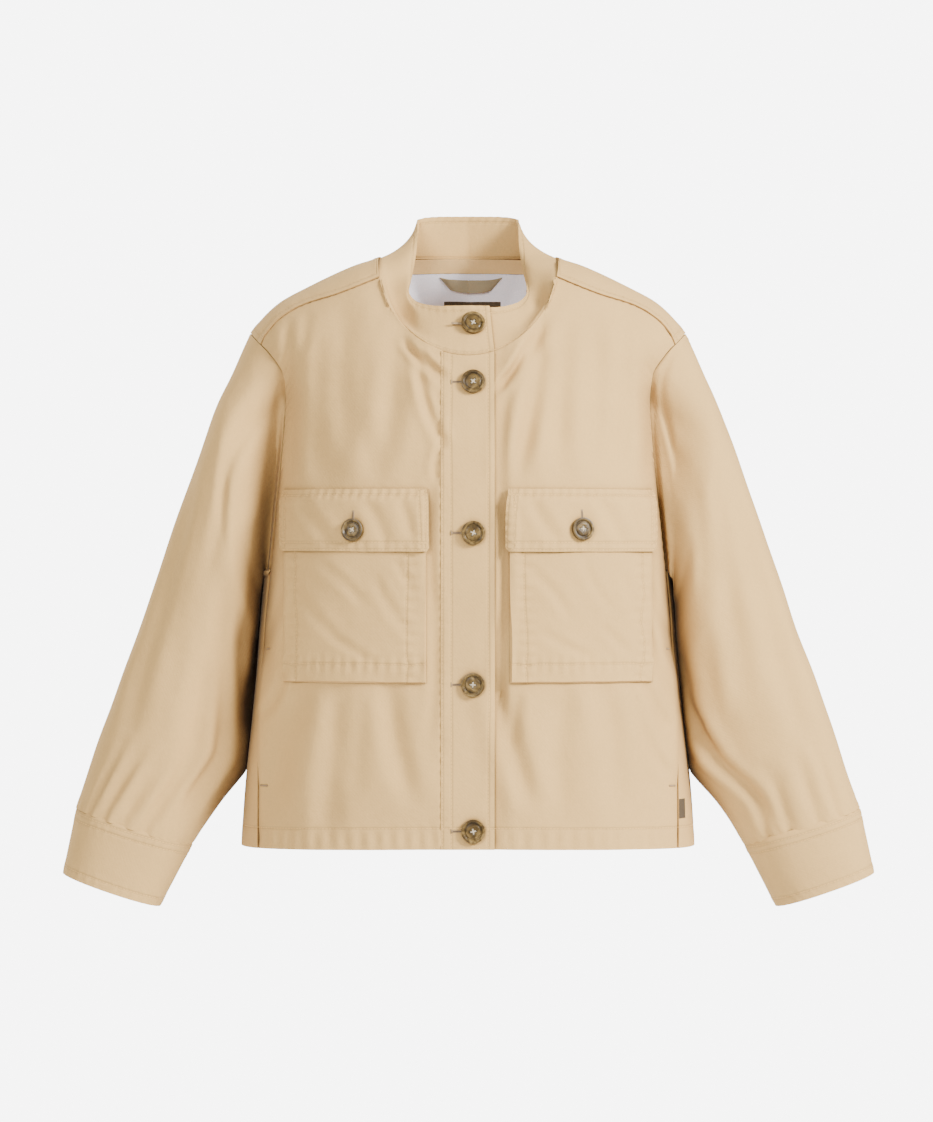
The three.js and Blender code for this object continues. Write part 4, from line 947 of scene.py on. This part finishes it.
# creases that the button pulls into the flaps, in the columns of FRONT_CREASES
FLAP_CREASES = [
    (-152, -222, -124, -262, 6, 1.0, 0.5, 2), (-92, -226, -74, -266, 6, 0.8, 0.4, -2),
    (-62, -220, -50, -258, 5, 0.8, 0.4, 0), (58, -224, 82, -262, 6, 0.9, 0.4, 2),
    (118, -222, 140, -264, 6, 1.0, 0.5, -2), (152, -224, 162, -262, 5, 0.7, 0.4, 0),
]
# creases of the two pockets, in the same columns: fine diagonals the washing has left
POCKET_CREASES = [
    (-160, -300, -118, -352, 5, 0.6, 0.3, 3), (-134, -282, -96, -318, 4.5, 0.5, 0.3, -2),
    (-84, -296, -52, -346, 5, 0.6, 0.3, 3), (-122, -350, -88, -372, 4, 0.5, 0.3, 0),
    (-66, -280, -50, -306, 4, 0.5, 0.3, 0), (54, -286, 92, -330, 5, 0.6, 0.3, -3),
    (104, -280, 128, -322, 4.5, 0.5, 0.3, 2), (140, -290, 156, -344, 5, 0.6, 0.3, -2),
    (70, -346, 112, -368, 4.5, 0.5, 0.3, 2), (122, -340, 148, -366, 4, 0.5, 0.3, 0),
]


def flap_lift(z):
    return lerp(RIM_LIFT + PATCH_THICK, FLAP["lift"], ease((FLAP["top"] - z) / 13))


def edge_steps(low, high, count):
    """Places across a patch, close together at the two turned edges."""
    inside = np.linspace(low + 1.6, high - 1.6, count - 3)
    return np.concatenate([[low, low + 0.7], inside, [high - 0.7, high]])


def sew_pocket(name, side):
    x = side * edge_steps(POCKET["inner"], POCKET["outer"], 52)
    x = np.sort(x)
    z = edge_steps(POCKET["bottom"], POCKET["top"], 64)[:, None]
    rim = np.minimum.reduce([
        x - x[0] + 0 * z, x[-1] - x + 0 * z, z - z[0] + 0 * x, z[-1] - z + 0 * x,
    ])
    cx = (x[0] + x[-1]) / 2
    belly = 1.1 * np.exp(-(((x - cx) / 44) ** 2) - ((z + 318) / 52) ** 2)
    soft = 0.7 * np.sin(x / 17 + side) * np.sin(z / 23 + 1.4 * side)
    soft = soft - creased(POCKET_CREASES, x + 0 * z, z + 0 * x)
    lift = lerp(RIM_LIFT, POCKET["lift"] + 0 * rim, ease(rim / 1.5)) + (belly + soft) * ease(rim / 18)
    points = strip(x, z + 0 * x, lift)
    u, v = run_lengths(points)
    n = grid_normals(points)
    points = puckered(points, n, np.minimum(u, u[:, -1:] - u) - 17, v, 0.75, 7, 10)
    points = puckered(points, n, v - 18, u, 0.75, 7, 10)
    rows = [("left", 19 if side < 0 else 16.5), ("right", 20 if side < 0 else 17), ("bottom", 19)]
    piece = sew_sheet(name, points, PATCH_THICK, rows)
    piece.data.materials.append(sand_twill)
    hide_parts(name)


def sew_flap(name, side):
    x = np.sort(side * np.linspace(FLAP["inner"], FLAP["outer"], 55))
    past = np.clip(FLAP_CORNER - np.minimum(x - x[0], x[-1] - x), 0, FLAP_CORNER)
    low = FLAP["bottom"] + FLAP_CORNER - np.sqrt(FLAP_CORNER**2 - past**2)
    z = lerp(low, FLAP["top"], np.linspace(0, 1, 31)[:, None])
    lift = flap_lift(z) + 0.35 * np.sin(x / 15 + 2 * side) * ease((FLAP["top"] - z) / 30)
    lift = lift - creased(FLAP_CREASES, x, z) * ease((FLAP["top"] - z) / 14)
    points = strip(x, z, lift)
    u, v = run_lengths(points)
    n = grid_normals(points)
    points = puckered(points, n, v[-1:] - v - 5, u, 0.8, 5, 8.5)
    points = puckered(points, n, np.minimum(u, u[:, -1:] - u) - 5, v, 0.5, 5, 8.5)
    points = puckered(points, n, v - 5, u, 0.45, 5, 9)
    rows = [("top", 6), ("bottom", 8.5), ("left", 9), ("right", 9)]
    rows = rows + [("bottom", 1.6), ("left", 1.6), ("right", 1.6)]
    piece = sew_sheet(name, points, PATCH_THICK, rows)
    piece.data.materials.append(sand_twill)
    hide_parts(name)


sew_pocket("pocket_right", -1)
sew_pocket("pocket_left", 1)
sew_flap("flap_right", -1)
sew_flap("flap_left", 1)
# Inside the neck: a self-cloth facing band, the pale smooth lining of the upper back, a folded
# hanger loop of self tape and a plain woven label. All are sewn in under the collar seam.

INSIDE = TWILL_THICK + 1.5
LINING_THICK = 1.0
FACING_TOP = -2.2
FACING_DEPTH = 11
LINING_END = 150
BAND_TURNS = (112, 248)
BAND_SPREAD = 0.0024


def plain_cloth(name, colour, rough, relief, scale, sheen=0.1):
    mat = bpy.data.materials.new(name)
    mat.use_nodes = True
    nodes, links = mat.node_tree.nodes, mat.node_tree.links
    surface = nodes["Principled BSDF"]
    threads = nodes.new("ShaderNodeUVMap")
    slub = nodes.new("ShaderNodeTexNoise")
    slub.inputs["Scale"].default_value = scale
    slub.inputs["Detail"].default_value = 3
    links.new(threads.outputs["UV"], slub.inputs["Vector"])
    ramp = nodes.new("ShaderNodeMapRange")
    ramp.inputs["To Min"].default_value = 0.86
    ramp.inputs["To Max"].default_value = 1.1
    links.new(slub.outputs["Fac"], ramp.inputs["Value"])
    tint = multiplied(mat, colour, ramp.outputs["Result"])
    links.new(tint, surface.inputs["Base Color"])
    surface.inputs["Roughness"].default_value = rough
    surface.inputs["Sheen Weight"].default_value = sheen
    bump = nodes.new("ShaderNodeBump")
    bump.inputs["Strength"].default_value = 0.5
    bump.inputs["Distance"].default_value = relief
    links.new(slub.outputs["Fac"], bump.inputs["Height"])
    links.new(bump.outputs["Normal"], surface.inputs["Normal"])
    return mat


# The facing is the body's own twill; this copy is made paler and lighter in colour as painted light, to
# brighten the band inside the neck.
facing_twill_painted_light = twill("facing_twill_painted_light", (0.72, 0.47, 0.20), 1.2)
lining_cloth = plain_cloth("pale_lining", (0.98, 0.94, 1.0), 0.5, 0.0003, 600)
loop_cloth = plain_cloth("hanger_tape", (0.36, 0.29, 0.17), 0.85, 0.0004, 900)
label_cloth = plain_cloth("blank_label", (0.075, 0.050, 0.024), 0.85, 0.0004, 1500, 0.03)


def inside_band(name, first, last, high, mat):
    """A band round the back of the neck, from first to last millimetres below the collar seam."""
    turn = np.radians(np.linspace(*BAND_TURNS, 91))[None, :]
    down = np.linspace(last, first, high + 1)[:, None]
    nx, nz = neckline(turn)
    points = on_back(nx * (1 + down * BAND_SPREAD), nz - down, -(INSIDE + LINING_THICK) + 0 * down)
    piece = sew_sheet(name, points, LINING_THICK)
    piece.data.materials.append(mat)
    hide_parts(name)


inside_band("neck_facing", FACING_TOP, FACING_DEPTH, 10, facing_twill_painted_light)
inside_band("lining", FACING_DEPTH + 0.6, LINING_END, 60, lining_cloth)

u = np.linspace(-1, 1, 49)[None, :]
edge = np.linspace(0, 1, 9)[:, None]
bow = 4 * (1 - u**4)
hang_x = u * lerp(20.5, 31, edge) + 3
hang_z = -15 + edge * 12 - 1.2 * (1 - u**4)
hang_lift = -(INSIDE + LINING_THICK + 0.5 + bow + LINING_THICK) + 0 * edge
hanger = sew_sheet("hanger_loop", on_back(hang_x, hang_z, hang_lift), LINING_THICK)
hanger.data.materials.append(loop_cloth)
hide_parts("hanger_loop")

x = np.linspace(-23, 32, 23)[None, :]
z = np.linspace(-50, -26, 13)[:, None]
lift = -(INSIDE + LINING_THICK + 1.2)
label = sew_sheet("neck_label", on_back(x + 0 * z, z + 0 * x, lift + 0 * z), 0.8)
label.data.materials.append(label_cloth)
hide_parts("neck_label")
# The side tab: a small plain tape, folded in two, with its ends caught in the left side seam a
# little above the hem.

z = np.linspace(-520, -502, 10)[:, None]
turn = side_turn(curve(TRUNK, z, 4)) + 0.012 + np.linspace(0, 0.095, 9)[None, :]
points = trunk_ring(turn, z + 0 * turn)
points = points + grid_normals(points) * 1.5
tab = sew_sheet("side_tab", points, 1.0)
tab.data.materials.append(label_cloth)
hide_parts("side_tab")
# The buttons: four-hole buttons with a raised rim, turned from a horn-coloured rod, dark olive brown
# with paler streaks. Each is sewn on with a cross of pale thread.

FRONT_BUTTONS = [
    ("button_front_1", 4.6, -115.6, 10.9), ("button_front_2", 4.6, -254.4, 10.9),
    ("button_front_3", 4.6, -393, 10.9), ("button_front_4", 4.6, -526.6, 10.9),
]
FLAP_BUTTONS = [("button_flap_right", -103.4, -252, 10.4), ("button_flap_left", 102.8, -251.2, 10.4)]
# thickness, radius of a hole and its distance from the centre, in metres
BUTTON_THICK = 0.0032
HOLE_RADIUS = 0.00105
HOLE_SPREAD = 0.0017


def horn_finish():
    mat = bpy.data.materials.new("horn")
    mat.use_nodes = True
    nodes, links = mat.node_tree.nodes, mat.node_tree.links
    surface = nodes["Principled BSDF"]
    place = nodes.new("ShaderNodeTexCoord")
    streak = nodes.new("ShaderNodeTexNoise")
    streak.inputs["Scale"].default_value = 75
    streak.inputs["Detail"].default_value = 3
    streak.inputs["Distortion"].default_value = 1.6
    links.new(place.outputs["Object"], streak.inputs["Vector"])
    ramp = nodes.new("ShaderNodeValToRGB")
    ramp.color_ramp.elements[0].position = 0.36
    ramp.color_ramp.elements[0].color = (0.052, 0.030, 0.008, 1)
    ramp.color_ramp.elements[1].position = 0.70
    ramp.color_ramp.elements[1].color = (0.29, 0.185, 0.062, 1)
    middle = ramp.color_ramp.elements.new(0.54)
    middle.color = (0.135, 0.083, 0.024, 1)
    links.new(streak.outputs["Fac"], ramp.inputs["Fac"])
    # Painted shade: ambient occlusion darkens the horn colour in the groove inside the rim and round the
    # holes, where shade falls.
    hollow = nodes.new("ShaderNodeAmbientOcclusion")
    hollow.samples = 8
    hollow.inputs["Distance"].default_value = 0.004
    deep = nodes.new("ShaderNodeMapRange")
    deep.inputs["From Min"].default_value = 0.25
    deep.inputs["From Max"].default_value = 0.9
    deep.inputs["To Min"].default_value = 0.12
    links.new(hollow.outputs["AO"], deep.inputs["Value"])
    tint = multiplied(mat, ramp.outputs["Color"], deep.outputs["Result"])
    links.new(tint, surface.inputs["Base Color"])
    surface.inputs["Roughness"].default_value = 0.32
    surface.inputs["Specular IOR Level"].default_value = 0.4
    surface.inputs["Coat Weight"].default_value = 0.06
    return mat


def thread_finish(name, colour):
    mat = bpy.data.materials.new(name)
    mat.use_nodes = True
    nodes, links = mat.node_tree.nodes, mat.node_tree.links
    surface = nodes["Principled BSDF"]
    place = nodes.new("ShaderNodeTexCoord")
    twist = nodes.new("ShaderNodeTexNoise")
    twist.inputs["Scale"].default_value = 2600
    links.new(place.outputs["Object"], twist.inputs["Vector"])
    ramp = nodes.new("ShaderNodeMapRange")
    ramp.inputs["To Min"].default_value = 0.75
    ramp.inputs["To Max"].default_value = 1.15
    links.new(twist.outputs["Fac"], ramp.inputs["Value"])
    tint = multiplied(mat, colour, ramp.outputs["Result"])
    links.new(tint, surface.inputs["Base Color"])
    surface.inputs["Roughness"].default_value = 0.75
    return mat


horn = horn_finish()
pale_thread = thread_finish("pale_thread", (0.60, 0.50, 0.35))
sand_thread = thread_finish("sand_thread", (0.33, 0.22, 0.11))


def facing(place, normal, spin=0.0):
    """The matrix that stands a piece modelled on the ground plane on a place of the jacket."""
    turn = Vector(normal).to_track_quat("Z", "Y").to_matrix().to_4x4()
    return Matrix.Translation(Vector(place) / 1000) @ turn @ Matrix.Rotation(spin, 4, "Z")


def placed(piece, matrix):
    piece.data.transform(matrix @ piece.matrix_world)
    piece.matrix_world = Matrix.Identity(4)


def make_button(name, place, normal, radius, spin):
    bpy.ops.object.select_all(action="DESELECT")
    bpy.ops.mesh.primitive_cylinder_add(
        vertices=64, radius=radius / 1000, depth=BUTTON_THICK, location=(0, 0, BUTTON_THICK / 2)
    )
    button = bpy.context.object
    button.name = button.data.name = name
    bpy.ops.object.transform_apply(location=True, rotation=True, scale=True)
    bpy.ops.object.mode_set(mode="EDIT")
    bpy.ops.mesh.select_all(action="DESELECT")
    bpy.ops.object.mode_set(mode="OBJECT")
    for face in button.data.polygons:
        face.select = face.normal.z > 0.9
    bpy.ops.object.mode_set(mode="EDIT")
    bpy.ops.mesh.inset(thickness=0.0021)
    bpy.ops.mesh.inset(thickness=0.0008)
    bpy.ops.transform.translate(value=(0, 0, -0.0015))
    bpy.ops.mesh.inset(thickness=0.0009)
    bpy.ops.mesh.inset(thickness=0.0006)
    bpy.ops.transform.translate(value=(0, 0, 0.0006))
    bpy.ops.object.mode_set(mode="OBJECT")
    for x, y in ((1, 1), (1, -1), (-1, 1), (-1, -1)):
        bpy.ops.mesh.primitive_cylinder_add(
            vertices=20, radius=HOLE_RADIUS, depth=0.01,
            location=(x * HOLE_SPREAD, y * HOLE_SPREAD, BUTTON_THICK / 2),
        )
        drill = bpy.context.object
        cut = button.modifiers.new("hole", "BOOLEAN")
        cut.object = drill
        cut.solver = "EXACT"
        bpy.context.view_layer.objects.active = button
        bpy.ops.object.modifier_apply(modifier="hole")
        bpy.data.objects.remove(drill)
    soften = button.modifiers.new("soften", "BEVEL")
    soften.width = 0.00045
    soften.segments = 3
    soften.limit_method = "ANGLE"
    soften.angle_limit = math.radians(28)
    bpy.ops.object.modifier_apply(modifier="soften")
    bpy.ops.object.select_all(action="DESELECT")
    button.select_set(True)
    bpy.ops.object.shade_smooth_by_angle(angle=math.radians(35))
    button.data.materials.append(horn)
    placed(button, facing(place, normal, spin))
    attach(button, "root")
    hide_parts(name)
    strands = []
    for angle in (math.pi / 4, -math.pi / 4):
        for aside in (-0.35, 0.35):
            bpy.ops.mesh.primitive_uv_sphere_add(segments=12, ring_count=8, radius=0.001)
            strand = bpy.context.object
            strand.data.transform(
                Matrix.Translation((0, 0, 0.0022)) @ Matrix.Rotation(angle, 4, "Z")
                @ Matrix.Translation((0, aside / 1000, 0)) @ Matrix.Diagonal((3.1, 0.36, 0.42, 1))
            )
            strands.append(strand)
    bpy.ops.object.select_all(action="DESELECT")
    for strand in strands:
        strand.select_set(True)
    bpy.context.view_layer.objects.active = strands[0]
    bpy.ops.object.join()
    thread = bpy.context.object
    thread.name = thread.data.name = name + "_thread"
    bpy.ops.object.shade_smooth()
    thread.data.materials.append(pale_thread)
    placed(thread, facing(place, normal, spin))
    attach(thread, "root")


def one(values):
    return np.array([float(values)])


for k, (name, x, z, radius) in enumerate(FRONT_BUTTONS):
    normal = surface_normal(front_point, one(x), one(z), -1)[0]
    make_button(name, on_front(one(x), one(z), one(1.1))[0], normal, radius, 0.3 * k + 0.1)
for k, (name, x, z, radius) in enumerate(FLAP_BUTTONS):
    normal = surface_normal(front_point, one(x), one(z), -1)[0]
    place = on_front(one(x), one(z), flap_lift(one(z)) + 0.9)[0]
    make_button(name, place, normal, radius, 0.5 * k + 0.2)
# the collar button: its turn round the neck and its share of the height of the collar
a = math.radians(3.4)
up = 0.62
here = collar_point(one(a), one(up))[0]
aside = collar_point(one(a + 0.05), one(up))[0] - collar_point(one(a - 0.05), one(up))[0]
upward = collar_point(one(a), one(up + 0.1))[0] - collar_point(one(a), one(up - 0.1))[0]
normal = np.cross(aside, upward)
normal = normal / np.linalg.norm(normal) * (-1 if normal[1] > 0 else 1)
make_button("button_collar", here + normal * 0.7, normal, 10.9, 0.2)
# The buttonholes and bar tacks: close zigzag stitching in a darker sand thread round each cut, with a
# very dark strip laid down the cut as painted shadow, and short bars of the sand thread at both ends of
# the side pocket mouths.


def make_bar(name, place, normal, length, width, high, spin, mat):
    bpy.ops.object.select_all(action="DESELECT")
    bpy.ops.mesh.primitive_cube_add(size=1)
    bar = bpy.context.object
    bar.name = bar.data.name = name
    bar.scale = (length / 1000, width / 1000, high / 1000)
    bpy.ops.object.transform_apply(location=False, rotation=False, scale=True)
    round_off = bar.modifiers.new("round", "BEVEL")
    round_off.width = 0.45 * min(width, high) / 1000
    round_off.segments = 2
    bpy.ops.object.modifier_apply(modifier="round")
    bpy.ops.object.shade_smooth()
    bar.data.materials.append(mat)
    placed(bar, facing(place, normal, spin))
    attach(bar, "root")


def level_spin(normal, wanted):
    """The spin that lays a piece's X along the wanted direction on the cloth."""
    turn = Vector(normal).to_track_quat("Z", "Y")
    aside = turn.inverted() @ Vector(wanted)
    return math.atan2(aside.y, aside.x)


# A very dark strip laid along each buttonhole stands in for the shadow in its cut: painted shadow.
slit_shadow = thread_finish("slit_shadow", (0.05, 0.03, 0.015))
SLIT_LONG = 22
SLIT_WIDE = 2.3


def make_buttonhole(name, x, z, lift, upright):
    normal = surface_normal(front_point, one(x), one(z), -1)[0]
    spin = level_spin(normal, (0, 0, 1) if upright else (1, 0, 0))
    place = on_front(one(x), one(z), one(lift))[0]
    make_bar(name, place, normal, SLIT_LONG, SLIT_WIDE, 0.7, spin, sand_thread)
    # the painted shadow strip down the cut of the buttonhole
    make_bar(name + "_slit", place + normal * 0.2, normal, 19, 0.75, 0.6, spin, slit_shadow)
    if not upright:
        end = place - np.array((SLIT_LONG / 2, 0, 0))
        make_bar(name + "_end", end, normal, 4.6, 1.0, 0.9, spin + math.pi / 2, sand_thread)


for k, (name, x, z, radius) in enumerate(FRONT_BUTTONS):
    make_buttonhole(f"buttonhole_{k + 1}", x - 9, z, 0.62, False)
for name, x, z, radius in FLAP_BUTTONS:
    lift = float(flap_lift(one(z + 7))[0]) + 0.1
    make_buttonhole(name.replace("button_", "buttonhole_"), x, z + 7, lift, True)
place = here - aside / np.linalg.norm(aside) * 9 * np.sign(aside[0]) + normal * 0.1
spin = level_spin(normal, (1, 0, 0))
make_bar("buttonhole_collar", place, normal, SLIT_LONG, SLIT_WIDE, 0.7, spin, sand_thread)
for side, place_name in ((-1, "right"), (1, "left")):
    for end, z in (("top", MOUTH_TOP), ("end", MOUTH_END)):
        x = float(side * (edge_x(one(z))[0] - 4.5))
        n = surface_normal(front_point, one(x), one(z), -1)[0]
        place = on_front(one(x), one(z), one(0.15))[0]
        spin = level_spin(n, (side, 0.6, 0))
        make_bar(f"bar_tack_{place_name}_{end}", place, n, 9, 1.7, 0.8, spin, sand_thread)
# The studio: a round pale floor well below the jacket, a bright plain surround behind it, a broad
# soft light from the upper right of the picture, a weaker one from the left and one from behind.

bpy.ops.object.select_all(action="DESELECT")
bpy.ops.mesh.primitive_circle_add(vertices=96, radius=1.5, fill_type="NGON", location=(0, 0, -1.1))
floor = bpy.context.object
floor.name = floor.data.name = "floor"
paper = bpy.data.materials.new("paper")
paper.use_nodes = True
paper.node_tree.nodes["Principled BSDF"].inputs["Base Color"].default_value = (0.86, 0.86, 0.86, 1)
paper.node_tree.nodes["Principled BSDF"].inputs["Roughness"].default_value = 0.9
floor.data.materials.append(paper)

world = bpy.data.worlds.new("surround")
bpy.context.scene.world = world
world.use_nodes = True
surround = world.node_tree.nodes["Background"]
surround.inputs["Color"].default_value = (1, 1, 1, 1)
ray = world.node_tree.nodes.new("ShaderNodeLightPath")
level = world.node_tree.nodes.new("ShaderNodeMapRange")
level.inputs["To Min"].default_value = 0.36
level.inputs["To Max"].default_value = 7.0
world.node_tree.links.new(ray.outputs["Is Camera Ray"], level.inputs["Value"])
world.node_tree.links.new(level.outputs["Result"], surround.inputs["Strength"])


def soft_light(name, place, aim, size, watts):
    data = bpy.data.lights.new(name, "AREA")
    data.size = size
    data.energy = watts
    lamp = bpy.data.objects.new(name, data)
    lamp.location = place
    lamp.visible_camera = False
    lamp.rotation_euler = (Vector(aim) - Vector(place)).to_track_quat("-Z", "Y").to_euler()
    bpy.context.collection.objects.link(lamp)


soft_light("key", (2.4, -1.6, 1.1), (0, 0, -0.22), 0.9, 240)
soft_light("fill", (-0.9, -2.1, 0.5), (0, 0, -0.15), 0.9, 46)
soft_light("behind", (-2.3, 2.2, 1.0), (0, 0, -0.3), 1.2, 100)

camera_data = bpy.data.cameras.new("camera")
camera_data.sensor_fit = "VERTICAL"
camera_data.sensor_height = 36
camera_data.lens = 36 * 3.0 / 1.0659
camera = bpy.data.objects.new("camera", camera_data)
camera.location = (-0.0014, -3.0, -0.280)
camera.rotation_euler = (math.pi / 2, 0, 0)
bpy.context.collection.objects.link(camera)
bpy.context.scene.camera = camera
